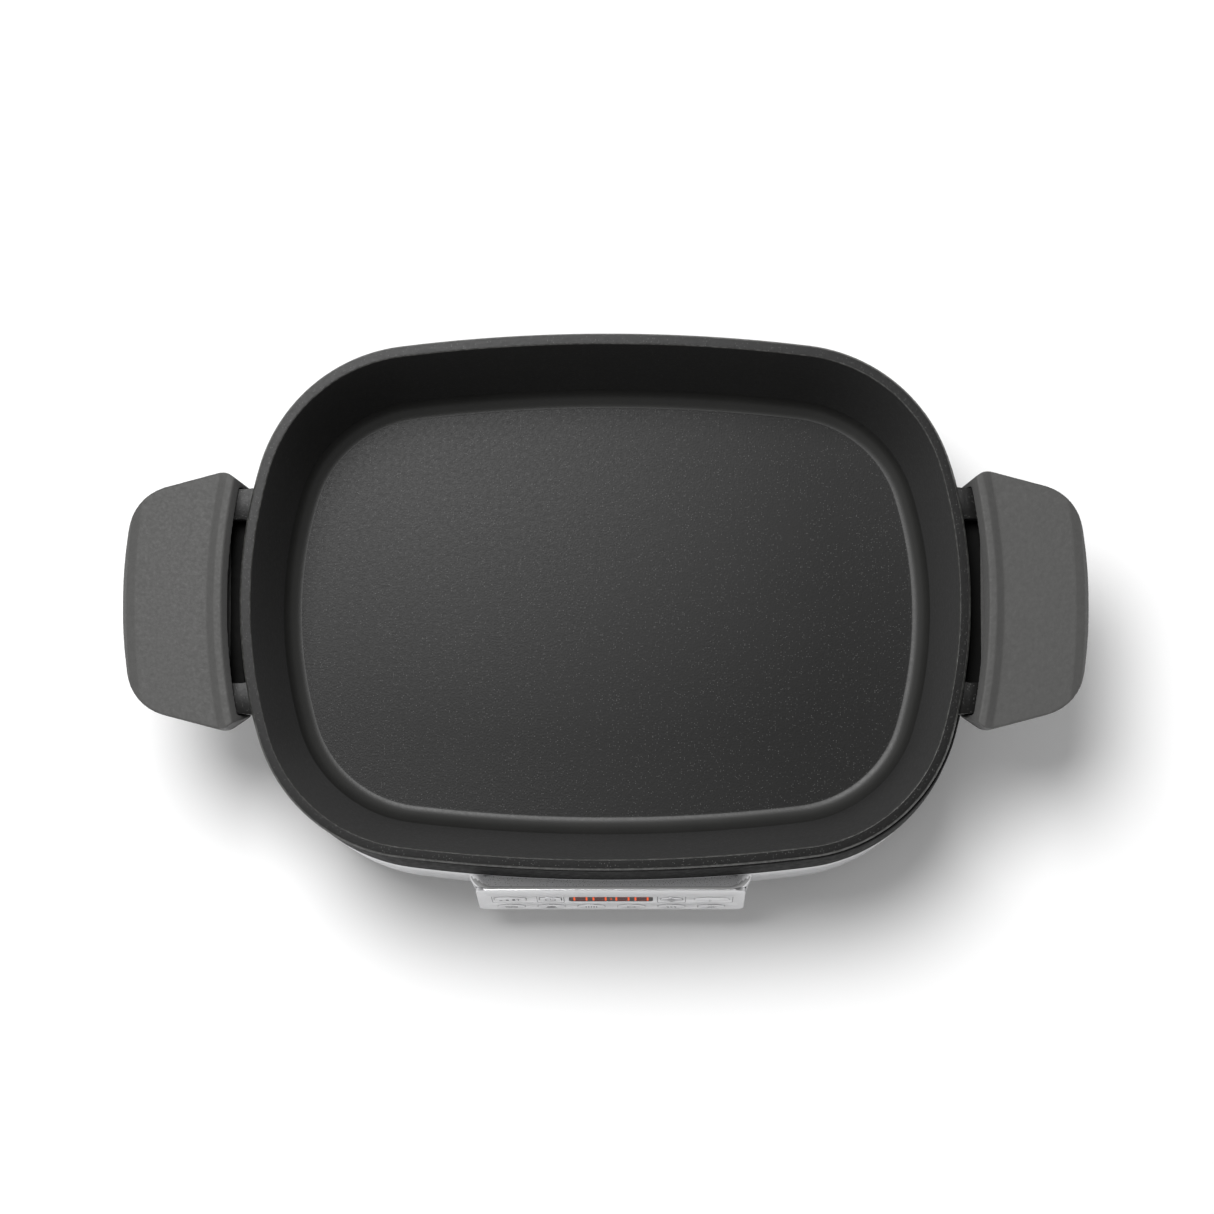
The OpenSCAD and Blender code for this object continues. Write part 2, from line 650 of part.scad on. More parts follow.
part_z = board_z + 1.7; // underside of the parts on the board
module relay() color([0.1, 0.25, 0.5]) box_at([38, -24, part_z + 5], [19, 15, 10]);
module transformer() color([0.85, 0.75, 0.3]) {
    box_at([64, -18, part_z + 4.5], [20, 20, 5]);
    box_at([64, -18, part_z + 1], [14, 20, 2]);
    box_at([64, -18, part_z + 8], [14, 20, 2]);
}
module filter_capacitor() color([0.9, 0.7, 0.1]) {
    box_at([88, -26, part_z + 4.5], [17, 8, 9]);
    translate([86, -8, part_z]) cylinder(r = 4, h = 10);
}
module relay_heat_sink() color([0.7, 0.7, 0.72]) {
    box_at([38, 8, part_z + 1], [22, 14, 2]);
    for (i = [-2 : 2])
        box_at([38 + i * 4.6, 8, part_z + 5.5], [1.4, 14, 7.2]);
}
module terminal_block() color([0.15, 0.45, 0.2])
    difference() {
        box_at([70, 11, part_z + 5], [30, 9, 10]);
        for (i = [-1 : 1])
            translate([70 + i * 9.5, 20, part_z + 4.5]) rotate([90, 0, 0]) cylinder(r = 2, h = 9);
    }

// ---- Control panel ----
housing_w = 138.4;
housing_wall = 2.2;
housing_round = 7; // radius of its two upper side edges
module housing_block(inset) {
    w = housing_w - 2 * inset;
    front = housing_front + inset;
    intersection() {
        translate([-w / 2, 0, 0]) rotate([90, 0, 90]) linear_extrude(w)
            polygon([
                [-half_d + 6, face_low - 5 + inset], [front + 5, face_low - 5 + inset],
                [front + 1, face_low - 3 + inset], [front, face_low],
                [face_top_y + inset, face_high - inset], [face_top_y + 1.6 + inset, face_high + 1.6 - inset],
                [-half_d + 6, face_high + 2 - inset]
            ]);
        translate([0, housing_front + 30, 0]) linear_extrude(120) rounded_rect(w, 60, 9 - inset);
        translate([0, 0, face_high + 2 - inset - 60]) rotate([90, 0, 0])
            linear_extrude(200) rounded_rect(w, 120, housing_round - inset);
    }
}

module control_housing() color([0.6, 0.6, 0.6])
    difference() {
        housing_block(0);
        intersection() {
            housing_block(housing_wall);
            box_at([0, -half_d - 10, face_z], [housing_w, 60, face_high - face_low - 4]);
        }
        on_face() translate([0, 0, -4]) linear_extrude(10) rounded_rect(fascia_w + 0.4, fascia_h + 0.4, 5.2);
        bowl([[-8, -10], [shell_low_t + 0.3, -10], [shell_low_t + 0.25, skirt_top], [shell_high_t + 0.25, shell_top],
              [shell_high_t, shell_top + 20], [-8, shell_top + 20]]);
    }

fascia_back = -1.6;
fascia_front = 0.6;
row_high = 1.8;   // height of the display's row along the slope
row_low = -16;  // height of the program keys' row
key_w = 13.4;
key_h = 9.6;
window_w = 41;
window_h = 11;
key_gap = 0.3;

// Outline of each key, grown by g, about its own centre.
module pill(w, h, g) rounded_rect(w + 2 * g, h + 2 * g, (min(w, h) + 2 * g) / 2 - 0.01);
module half_moon(r, side, g)
    intersection() {
        circle(r + g);
        translate([0, side * (r / 2 + 0.7)]) square([2 * r + 2, r + 2 * g], center = true);
    }

key_column = [for (i = [0 : 5]) (i - 2.5) * key_pitch];
arrow_r = 5.4;
module level_outline(g) translate([key_column[0], row_high]) rounded_rect(15.4 + 2 * g, 9.6 + 2 * g, 2.6 + g);
module timer_outline(g) translate([key_column[1], row_high]) rounded_rect(10.6 + 2 * g, 9.6 + 2 * g, 2.6 + g);
module up_outline(g) translate([key_column[4], row_high]) half_moon(arrow_r, 1, g);
module down_outline(g) translate([key_column[4], row_high]) half_moon(arrow_r, -1, g);
module start_outline(g) translate([key_column[5], row_high]) pill(17, 8.4, g);
module program_outline(i, g) translate([key_column[i], row_low]) pill(key_w, key_h, g);

module fascia() color([0.8, 0.8, 0.8])
    on_face() difference() {
        translate([0, 0, fascia_back]) linear_extrude(fascia_front - fascia_back)
            rounded_rect(fascia_w, fascia_h, 5);
        translate([0, 0, -5]) linear_extrude(10) {
            level_outline(key_gap);
            timer_outline(key_gap);
            start_outline(key_gap);
            translate([key_column[4], row_high]) circle(arrow_r + key_gap);
            for (i = [0 : 5])
                program_outline(i, key_gap);
            translate([0, row_high]) rounded_rect(window_w + 0.2, window_h + 0.2, 1.6);
        }
    }

module display_window() color([0.2, 0.03, 0.02, 0.8])
    on_face() translate([0, row_high, -1.5]) linear_extrude(1.9) rounded_rect(window_w, window_h, 1.5);

module display_module() color([0.08, 0.08, 0.08])
    on_face() box_at([0, row_high, -3.3], [38, 13, 3.2]);

key_front = 0.9;
key_back = -2.5;
module key(height = key_front) color([0.78, 0.78, 0.78])
    on_face() translate([0, 0, key_back]) linear_extrude(height - key_back) children();
module level_key() key() level_outline(0);
module timer_key() key() timer_outline(0);
module up_key() key() up_outline(0);
module down_key() key() down_outline(0);
module start_key() key(key_front + 0.4) start_outline(0);
module program_key(i) key() program_outline(i - 1, 0);

board_back = -6.6;
module control_board() color([0.1, 0.35, 0.2])
    on_face() translate([0, -2, board_back]) linear_extrude(1.6) rounded_rect(120, 32, 2);

module tact_switches() color([0.2, 0.2, 0.2])
    on_face() for (p = concat(
        [for (i = [0, 1, 5]) [key_column[i], row_high]],
        [for (s = [-1, 1]) [key_column[4], row_high + s * 3.1]],
        [for (x = key_column) [x, row_low]]
    ))
        translate([p[0], p[1], board_back + 1.7]) {
            translate([0, 0, 0.5]) cube([5, 5, 1], center = true);
            cylinder(r = 1.5, h = 1.6);
        }

// ---- Wiring ----
// Mains leads from the inlet's tabs to the terminal block, lying on the cover.
wire_r = 1.2;
wire_z = skirt_low + 2.8 + wire_r + 0.6;
module mains_wires() color([0.3, 0.2, 0.15])
    for (i = [0 : 2])
        cable(curve([
            [pin_places[i][0], inlet_y - 29.2, inlet_z - pin_places[i][1]],
            [pin_places[i][0] + 2, inlet_y - 36, inlet_z - 3],
            [14 + 5 * i, 66 + 4 * i, wire_z + 3], [40 + 6 * i, 42 + 4 * i, wire_z + 2],
            [60.5 + 9.5 * i, 34, part_z + 2], [60.5 + 9.5 * i, 16, part_z + 4.5]
        ]), wire_r);

// Leads from the board up to the two ends of the heating element.
module heater_wires() color([0.75, 0.72, 0.65])
    for (s = [-1, 1])
        cable(curve([
            [s * terminal_x, element_front - 34.4, element_z],
            [s * terminal_x, element_front - 42, element_z - 2],
            [s * 18 + 8, -88, shield_z], [s * 8 + 22, -74, part_z + 4],
            [s * 3 + 38, -50, part_z + 3], [s * 3 + 38, -36.5, part_z + 2.5]
        ]), wire_r);

// Flat cable from the power board to the control board.
module ribbon_cable() color([0.75, 0.75, 0.78])
    for (i = [0 : 5])
        cable(curve([
            [70 - 1.6 * i, -39, part_z + 1.2], [68 - 1.6 * i, -60, part_z + 1],
            [50 - 1.6 * i, -100, part_z + 3], [44 - 1.6 * i, -116, 30],
            [42 - 1.6 * i, -121, 42], [42 - 1.6 * i, face_y + 10.4, face_z - 6]
        ]), 0.7, 6);

place_pan() pan_casting();
place_pan() left_grip();
place_pan() right_grip();
place() top_collar();
place() outer_shell();
place() base_skirt();
place() base_cover();
place() rubber_feet();
place() cover_screws();
place() inner_liner();
place() heating_plate();
place() heating_element();
place() plate_clamps();
place() plate_nuts();
place() element_insulators();
place() sensor_cap();
place() sensor_spring();
place() sensor_bracket();
place() thermal_fuse();
place() fuse_clip();
place() heat_shield();
place() shield_posts();
place() power_inlet();
place() inlet_pins();
place() power_board();
place() relay();
place() transformer();
place() filter_capacitor();
place() relay_heat_sink();
place() terminal_block();
place() board_screws();
place() control_housing();
place() fascia();
place() display_window();
place() display_module();
place() control_board();
place() tact_switches();
place() mains_wires();
place() heater_wires();
place() ribbon_cable();
place() level_key();
place() timer_key();
place() up_key();
place() down_key();
place() start_key();
place() program_key(1);  // program_key_1
place() program_key(2);  // program_key_2
place() program_key(3);  // program_key_3
place() program_key(4);  // program_key_4
place() program_key(5);  // program_key_5
place() program_key(6);  // program_key_6
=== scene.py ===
"""Looks of an electric griddle: a lift-out non-stick pan with sleeve grips, on a heated base with a key panel."""

import json
import math

import bmesh
import bpy
from mathutils import Matrix, Vector


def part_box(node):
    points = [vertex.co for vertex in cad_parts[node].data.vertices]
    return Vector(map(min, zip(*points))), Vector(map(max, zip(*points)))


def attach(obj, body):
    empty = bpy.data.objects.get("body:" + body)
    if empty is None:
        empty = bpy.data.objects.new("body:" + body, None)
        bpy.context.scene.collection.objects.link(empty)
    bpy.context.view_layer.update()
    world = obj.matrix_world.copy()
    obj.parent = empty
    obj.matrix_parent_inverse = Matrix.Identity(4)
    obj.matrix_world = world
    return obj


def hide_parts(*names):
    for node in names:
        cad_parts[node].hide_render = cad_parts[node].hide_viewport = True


MM = 0.001
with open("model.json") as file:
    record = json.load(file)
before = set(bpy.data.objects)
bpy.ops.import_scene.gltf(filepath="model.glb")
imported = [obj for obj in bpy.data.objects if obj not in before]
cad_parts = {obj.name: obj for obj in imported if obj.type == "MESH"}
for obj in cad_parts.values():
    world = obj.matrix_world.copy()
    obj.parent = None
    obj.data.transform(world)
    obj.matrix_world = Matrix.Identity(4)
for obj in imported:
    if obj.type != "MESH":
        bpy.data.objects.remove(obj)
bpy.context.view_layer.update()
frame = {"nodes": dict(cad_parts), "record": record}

# ---- Places and sizes, from the CAD frame ----
pan_low, pan_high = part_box("pan_casting")
RIM_Z = pan_high.z
PAN_BASE = pan_low.z
PAN_Y = (pan_low.y + pan_high.y) / 2
BASE_X = (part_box("outer_shell")[0].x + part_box("outer_shell")[1].x) / 2
HALF_D = (pan_high.y - pan_low.y) / 2
LOOP_REACH = 35 * MM
HALF_W = pan_high.x - LOOP_REACH
FLOOR_Z = PAN_BASE + 5 * MM
SHELL_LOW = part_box("outer_shell")[0].z
SHELL_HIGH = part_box("outer_shell")[1].z
COLLAR_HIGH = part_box("top_collar")[1].z
SKIRT_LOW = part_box("base_skirt")[0].z
LINER_LOW, LINER_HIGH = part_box("inner_liner")[0].z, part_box("inner_liner")[1].z
PLATE_LOW, PLATE_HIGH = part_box("heating_plate")[0].z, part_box("heating_plate")[1].z

# The outline of the pan and the base: concentric arcs, as in the CAD.
LONG_R, SHORT_R, CORNER_R = 790 * MM, 234 * MM, 79.5 * MM
long_c = HALF_D - LONG_R
short_c = HALF_W - SHORT_R
centre_gap = math.hypot(short_c, long_c)
along_gap = ((LONG_R - CORNER_R) ** 2 - (SHORT_R - CORNER_R) ** 2 + centre_gap**2) / (2 * centre_gap)
off_gap = math.sqrt((LONG_R - CORNER_R) ** 2 - along_gap**2)
gap_x, gap_y = short_c / centre_gap, -long_c / centre_gap
corner_x = along_gap * gap_x + off_gap * gap_y
corner_y = long_c + along_gap * gap_y - off_gap * gap_x
corner_from = math.atan2(corner_y, corner_x - short_c)
corner_to = math.atan2(corner_y - long_c, corner_x)

SIDE_STEPS, CORNER_STEPS, LONG_STEPS = 12, 24, 20


def spread(low, high, steps):
    return [low + (high - low) * i / steps for i in range(steps)]


QUADRANT = (
    spread(0, corner_from, SIDE_STEPS)
    + spread(corner_from, corner_to, CORNER_STEPS)
    + spread(corner_to, math.pi / 2, LONG_STEPS)
)


def arc_point(angle, t):
    """Point of the first quadrant, offset outwards by t, whose normal points at angle."""
    if angle < corner_from:
        x, y, r = short_c, 0, SHORT_R
    elif angle > corner_to:
        x, y, r = 0, long_c, LONG_R
    else:
        x, y, r = corner_x, corner_y, CORNER_R
    return x + (r + t) * math.cos(angle), y + (r + t) * math.sin(angle)


def outline(t):
    """The whole outline about the pan's centre, offset outwards by t."""
    first = [arc_point(a, t) for a in QUADRANT]
    second = [arc_point(a, t) for a in [math.pi / 2, *reversed(QUADRANT[1:])]]
    return (
        first
        + [(-x, y) for x, y in second]
        + [(-x, -y) for x, y in first]
        + [(x, -y) for x, y in second]
    )


def edge_x(y, t):
    """x of the outline's right side at a height y above its middle, offset by t."""
    return short_c + math.sqrt((SHORT_R + t) ** 2 - y * y)


# ---- Mesh helpers ----
def rounded(corners, steps=5, closed=True):
    """Profile in which each (x, y, radius) corner becomes an arc. Sizes are in millimetres."""
    points = []
    count = len(corners)
    for i, (x, y, r) in enumerate(corners):
        here = Vector((x, y))
        if r == 0 or (not closed and i in (0, count - 1)):
            points.append((x * MM, y * MM))
            continue
        before = (Vector(corners[i - 1][:2]) - here).normalized()
        after = (Vector(corners[(i + 1) % count][:2]) - here).normalized()
        half = before.angle(after) / 2
        centre = here + (before + after).normalized() * (r / math.sin(half))
        start = here + before * (r / math.tan(half)) - centre
        end = here + after * (r / math.tan(half)) - centre
        low = math.atan2(start.y, start.x)
        turn = (math.atan2(end.y, end.x) - low + math.pi) % (2 * math.pi) - math.pi
        for k in range(steps + 1):
            a = low + turn * k / steps
            points.append(((centre.x + r * math.cos(a)) * MM, (centre.y + r * math.sin(a)) * MM))
    return points


def shade(mesh, sharp=35):
    """Smooth shading, with the edges that turn by more than sharp degrees left crisp."""
    bm = bmesh.new()
    bm.from_mesh(mesh)
    bmesh.ops.recalc_face_normals(bm, faces=bm.faces)
    for face in bm.faces:
        face.smooth = True
    for edge in bm.edges:
        edge.smooth = len(edge.link_faces) == 2 and edge.calc_face_angle(0) < math.radians(sharp)
    bm.to_mesh(mesh)
    bm.free()


def piece(name, mesh, material, body, replaces=(), sharp=35):
    """Adds a mesh to the scene as a piece of the object."""
    obj = bpy.data.objects.new(name, mesh)
    bpy.context.scene.collection.objects.link(obj)
    mesh.materials.clear()
    mesh.materials.append(material)
    shade(mesh, sharp)
    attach(obj, body)
    if replaces:
        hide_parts(*replaces)
    return obj


def mesh_of(name, points, faces):
    mesh = bpy.data.meshes.new(name)
    mesh.from_pydata(points, [], faces)
    mesh.update()
    return mesh


# Height to the share of x by which the base draws in at its sides, as in the CAD.
NARROWING = ((SHELL_LOW, 0.0364), (SHELL_HIGH, 0.019), (COLLAR_HIGH - 2 * MM, 0.0))


def narrowing(z):
    (low, most), (middle, some), (high, _) = NARROWING
    if z <= middle:
        return some + (most - some) * min(1, (middle - z) / (middle - low))
    return some * max(0, (high - z) / (high - middle))


def swept(name, profile, closed=True, cap_first=False, cap_last=False, centre_x=BASE_X, lean=0.0, drawn_in=False):
    """Mesh that carries a profile of (offset, height) points round the outline.

    The front and rear lean in by the share lean of y for each metre under the rim.
    A drawn-in mesh follows narrowing() with its points on and outside the pan's outline.
    """
    points = []
    for t, z in profile:
        k = 1 - narrowing(z) if drawn_in and t >= 0 else 1
        points += [(centre_x + k * x, PAN_Y + y * (1 + lean * (z - RIM_Z)), z) for x, y in outline(t)]
    count = 4 * len(QUADRANT)
    rows = len(profile)
    faces = []
    for r in range(rows if closed else rows - 1):
        s = (r + 1) % rows
        for i in range(count):
            j = (i + 1) % count
            faces.append((r * count + i, r * count + j, s * count + j, s * count + i))
    if cap_first:
        faces.append(tuple(range(count)))
    if cap_last:
        faces.append(tuple(range((rows - 1) * count, rows * count)))
    return mesh_of(name, points, faces)


def lofted(name, rings, cap_first=True, cap_last=True):
    """Mesh through a list of rings, each with the same number of points."""
    count = len(rings[0])
    points = [p for ring in rings for p in ring]
    faces = []
    for r in range(len(rings) - 1):
        for i in range(count):
            j = (i + 1) % count
            faces.append((r * count + i, r * count + j, (r + 1) * count + j, (r + 1) * count + i))
    if cap_first:
        faces.append(tuple(range(count)))
    if cap_last:
        faces.append(tuple(range((len(rings) - 1) * count, len(rings) * count)))
    return mesh_of(name, points, faces)


def cut(mesh, cutter):
    """The mesh with the cutter's solid taken away."""
    obj = bpy.data.objects.new("cut_body", mesh)
    tool = bpy.data.objects.new("cut_tool", cutter)
    for o in (obj, tool):
        bpy.context.scene.collection.objects.link(o)
    modifier = obj.modifiers.new("cut", "BOOLEAN")
    modifier.operation = "DIFFERENCE"
    modifier.object = tool
    modifier.solver = "EXACT"
    graph = bpy.context.evaluated_depsgraph_get()
    result = bpy.data.meshes.new_from_object(obj.evaluated_get(graph))
    for o in (obj, tool):
        bpy.data.objects.remove(o)
    return result


def with_modifiers(mesh, *steps):
    """The mesh after a list of (modifier type, settings)."""
    obj = bpy.data.objects.new("work", mesh)
    bpy.context.scene.collection.objects.link(obj)
    for kind, settings in steps:
        modifier = obj.modifiers.new(kind, kind)
        for key, value in settings.items():
            setattr(modifier, key, value)
    graph = bpy.context.evaluated_depsgraph_get()
    result = bpy.data.meshes.new_from_object(obj.evaluated_get(graph))
    bpy.data.objects.remove(obj)
    return result


def prism(name, points, low, high):
    """Straight prism on a polygon of (x, y) points."""
    return lofted(name, [[(x, y, low) for x, y in points], [(x, y, high) for x, y in points]])


def plate(name, outlines, low, high, bevel, transform):
    """Flat plate with rounded edges, cut by the outlines that lie inside others."""
    curve = bpy.data.curves.new(name, "CURVE")
    curve.dimensions = "2D"
    curve.fill_mode = "BOTH"
    curve.extrude = (high - low) / 2 - bevel
    curve.bevel_depth = bevel
    curve.bevel_resolution = 2
    curve.offset = -bevel
    for points in outlines:
        spline = curve.splines.new("POLY")
        spline.points.add(len(points) - 1)
        for target, (x, y) in zip(spline.points, points):
            target.co = (x, y, 0, 1)
        spline.use_cyclic_u = True
    obj = bpy.data.objects.new(name, curve)
    bpy.context.scene.collection.objects.link(obj)
    graph = bpy.context.evaluated_depsgraph_get()
    mesh = bpy.data.meshes.new_from_object(obj.evaluated_get(graph))
    bpy.data.objects.remove(obj)
    bm = bmesh.new()
    bm.from_mesh(mesh)
    bmesh.ops.remove_doubles(bm, verts=bm.verts, dist=1e-6)
    bm.to_mesh(mesh)
    bm.free()
    mesh.transform(transform @ Matrix.Translation((0, 0, (low + high) / 2)))
    return mesh


def joined(name, meshes):
    """One mesh from several."""
    bm = bmesh.new()
    for mesh in meshes:
        bm.from_mesh(mesh)
    result = bpy.data.meshes.new(name)
    bm.to_mesh(result)
    bm.free()
    return result


# ---- Flat outlines, in millimetres, returned in metres ----
def rounded_rect(w, h, r, x=0, y=0, steps=6):
    r = min(r, w / 2 - 0.01, h / 2 - 0.01)
    left, right, low, high = x - w / 2, x + w / 2, y - h / 2, y + h / 2
    corners = [(left, low, r), (right, low, r), (right, high, r), (left, high, r)]
    return rounded(corners, steps)


def circle(r, x=0, y=0, steps=48, low=0, high=360):
    whole = high - low == 360
    count = steps if whole else steps + 1
    angles = [math.radians(low + (high - low) * i / steps) for i in range(count)]
    return [((x + r * math.cos(a)) * MM, (y + r * math.sin(a)) * MM) for a in angles]


def stroke(points, width):
    """Outline of a line through points with flat ends, all in millimetres."""
    left, right = [], []
    for i, (x, y) in enumerate(points):
        ahead = Vector(points[min(i + 1, len(points) - 1)])
        behind = Vector(points[max(i - 1, 0)])
        d = (ahead - behind).normalized()
        left.append(((x - d.y * width / 2) * MM, (y + d.x * width / 2) * MM))
        right.append(((x + d.y * width / 2) * MM, (y - d.x * width / 2) * MM))
    return left + right[::-1]


def ring_line(r, width, x=0, y=0):
    """The two outlines of a thin ring."""
    return [circle(r + width / 2, x, y), circle(r - width / 2, x, y)]


# ---- Materials ----
def link(tree, source, target):
    tree.links.new(source, target)


class Paint:
    """A Principled material that is built up one procedural layer at a time."""

    def __init__(self, name, color, rough, metallic=0.0, specular=0.5, coat=0.0, coat_rough=0.1):
        self.material = bpy.data.materials.new(name)
        self.material.use_nodes = True
        self.tree = self.material.node_tree
        self.shader = self.tree.nodes["Principled BSDF"]
        self.set("Base Color", (*color, 1))
        self.set("Roughness", rough)
        self.set("Metallic", metallic)
        self.set("Specular IOR Level", specular)
        self.set("Coat Weight", coat)
        self.set("Coat Roughness", coat_rough)
        self.color, self.rough = color, rough
        self.color_out = None
        self.height_out = None
        self.coords = self.node("ShaderNodeTexCoord").outputs["Object"]

    def set(self, key, value):
        self.shader.inputs[key].default_value = value

    def node(self, kind, **settings):
        made = self.tree.nodes.new(kind)
        for key, value in settings.items():
            setattr(made, key, value)
        return made

    def stretched(self, scale):
        mapping = self.node("ShaderNodeMapping")
        mapping.inputs["Scale"].default_value = scale
        link(self.tree, self.coords, mapping.inputs["Vector"])
        return mapping.outputs["Vector"]

    def noise(self, scale, detail=3, vector=None):
        made = self.node("ShaderNodeTexNoise")
        made.inputs["Scale"].default_value = scale
        made.inputs["Detail"].default_value = detail
        link(self.tree, vector or self.coords, made.inputs["Vector"])
        return made.outputs["Fac"]

    def between(self, factor, low, high, start=0.3, end=0.7):
        made = self.node("ShaderNodeMapRange")
        made.inputs["From Min"].default_value = start
        made.inputs["From Max"].default_value = end
        made.inputs["To Min"].default_value = low
        made.inputs["To Max"].default_value = high
        link(self.tree, factor, made.inputs["Value"])
        return made.outputs["Result"]

    def tint(self, factor, color):
        """Lays a colour over the base colour where factor is 1."""
        mix = self.node("ShaderNodeMix", data_type="RGBA")
        link(self.tree, factor, mix.inputs["Factor"])
        if self.color_out:
            link(self.tree, self.color_out, mix.inputs["A"])
        else:
            mix.inputs["A"].default_value = (*self.color, 1)
        mix.inputs["B"].default_value = (*color, 1)
        self.color_out = mix.outputs["Result"]
        link(self.tree, self.color_out, self.shader.inputs["Base Color"])
        return self

    def mottle(self, scale, amount, vector=None):
        """Uneven shade: the base colour is lighter by amount where the noise is high."""
        lighter = [c * (1 + amount) for c in self.color]
        return self.tint(self.between(self.noise(scale, 4, vector), 0, 1), lighter)

    def gloss(self, scale, low, high, vector=None):
        """Uneven roughness between low and high."""
        link(self.tree, self.between(self.noise(scale, 3, vector), low, high), self.shader.inputs["Roughness"])
        return self

    def grain(self, height, distance, strength=1.0):
        """Adds a bump layer; distance is its depth in metres."""
        bump = self.node("ShaderNodeBump")
        bump.inputs["Strength"].default_value = strength
        bump.inputs["Distance"].default_value = distance
        link(self.tree, height, bump.inputs["Height"])
        if self.height_out:
            link(self.tree, self.height_out, bump.inputs["Normal"])
        self.height_out = bump.outputs["Normal"]
        link(self.tree, self.height_out, self.shader.inputs["Normal"])
        return self

    def flecks(self, scale, share, size, color):
        """Small specks: one in every cell whose random value is over 1 - share."""
        cells = self.node("ShaderNodeTexVoronoi")
        cells.inputs["Scale"].default_value = scale
        link(self.tree, self.coords, cells.inputs["Vector"])
        split = self.node("ShaderNodeSeparateColor")
        link(self.tree, cells.outputs["Color"], split.inputs["Color"])
        chosen = self.between(split.outputs["Red"], 0, 1, 1 - share, 1 - share * 0.6)
        near = self.between(cells.outputs["Distance"], 1, 0, size * 0.5, size)
        both = self.node("ShaderNodeMath", operation="MULTIPLY")
        link(self.tree, chosen, both.inputs[0])
        link(self.tree, near, both.inputs[1])
        return self.tint(both.outputs["Value"], color)


def nonstick():
    p = Paint("nonstick_coating", (0.005, 0.0049, 0.0047), 0.35, specular=0.15)
    p.set("Sheen Weight", 0.065)
    p.set("Sheen Roughness", 0.5)
    p.mottle(60, 0.15)
    p.flecks(1400, 0.25, 0.3, (0.12, 0.12, 0.118))
    p.gloss(500, 0.32, 0.38)
    p.grain(p.noise(1100, 2), 0.00005, 0.8)
    return p.material


def rim_edge_highlight():
    """The rim's rounded edges: painted highlight, a lighter and slightly metallic colour with brighter patches, where
    the edges catch the light.
    """
    p = Paint("painted_rim_edge_highlight", (0.045, 0.045, 0.043), 0.36, metallic=0.25)
    highlight_patches = p.between(p.noise(420, 4), 0, 1, 0.42, 0.62)
    p.tint(highlight_patches, (0.085, 0.085, 0.081))
    p.grain(p.noise(700, 3), 0.0002, 0.8)
    return p.material


def fillet_highlight():
    """The same coating on the curve from the floor to the wall, lighter and with more specular: painted highlight for
    the bright ring along the fillet, which also lightens its shade.
    """
    p = Paint("coating_painted_fillet_highlight", (0.022, 0.022, 0.021), 0.40, specular=0.32)
    p.mottle(60, 0.12)
    p.gloss(500, 0.37, 0.43)
    p.grain(p.noise(1100, 2), 0.00004, 0.8)
    return p.material


def silicone(name, color):
    p = Paint(name, color, 0.62, specular=0.4)
    p.set("Sheen Weight", 0.10)
    p.set("Sheen Roughness", 0.6)
    p.mottle(380, 0.16)
    p.gloss(700, 0.54, 0.7)
    p.grain(p.noise(420, 4), 0.00022, 0.7)
    p.grain(p.noise(1300, 2), 0.00008, 0.6)
    return p.material


def moulded(name, color, rough=0.5, fine=1200, depth=0.00004, specular=0.5):
    p = Paint(name, color, rough, specular=specular)
    p.mottle(40, 0.15)
    p.gloss(300, rough - 0.06, rough + 0.06)
    p.grain(p.noise(fine, 2), depth, 0.6)
    return p.material


def brushed(name, color, rough, across=(6, 6, 2600)):
    """Metal with fine lines that run round the body."""
    p = Paint(name, color, rough, metallic=1.0)
    lines = p.stretched(across)
    p.mottle(1, 0.18, lines)
    p.gloss(1, rough - 0.07, rough + 0.09, lines)
    p.grain(p.noise(1, 2, lines), 0.000012, 0.5)
    return p.material


def satin(name, color, rough=0.36, metallic=0.8):
    p = Paint(name, color, rough, metallic=metallic)
    p.mottle(2500, 0.06)
    p.gloss(1800, rough - 0.04, rough + 0.05)
    p.grain(p.noise(3000, 1), 0.000010, 0.4)
    return p.material


def cast_metal(name, color, rough, metallic=1.0):
    p = Paint(name, color, rough, metallic=metallic)
    p.mottle(120, 0.15)
    p.gloss(200, rough - 0.08, rough + 0.1)
    p.grain(p.noise(700, 3), 0.00005, 0.5)
    return p.material


def turned(name, color, rough):
    """Cast metal faced on a lathe, with fine rings about the middle."""
    p = Paint(name, color, rough, metallic=1.0)
    place = p.node("ShaderNodeMapping")
    place.inputs["Location"].default_value = (0, -PAN_Y, 0)
    link(p.tree, p.coords, place.inputs["Vector"])
    rings = p.node("ShaderNodeTexWave", wave_type="RINGS", rings_direction="Z")
    rings.inputs["Scale"].default_value = 260
    rings.inputs["Distortion"].default_value = 0.4
    rings.inputs["Detail"].default_value = 1
    link(p.tree, place.outputs["Vector"], rings.inputs["Vector"])
    p.mottle(90, 0.12)
    p.grain(rings.outputs["Fac"], 0.00003, 0.5)
    return p.material


def glow(name, color, strength):
    p = Paint(name, (0.02, 0.004, 0.002), 0.4, specular=0.02)
    p.set("Emission Color", (*color, 1))
    p.set("Emission Strength", strength)
    p.mottle(800, 0.3)
    return p.material


def tinted_window():
    p = Paint("display_window", (0.010, 0.002, 0.0015), 0.18, specular=0.02)
    p.mottle(500, 0.4)
    p.grain(p.noise(90, 1), 0.00001, 0.2)
    return p.material


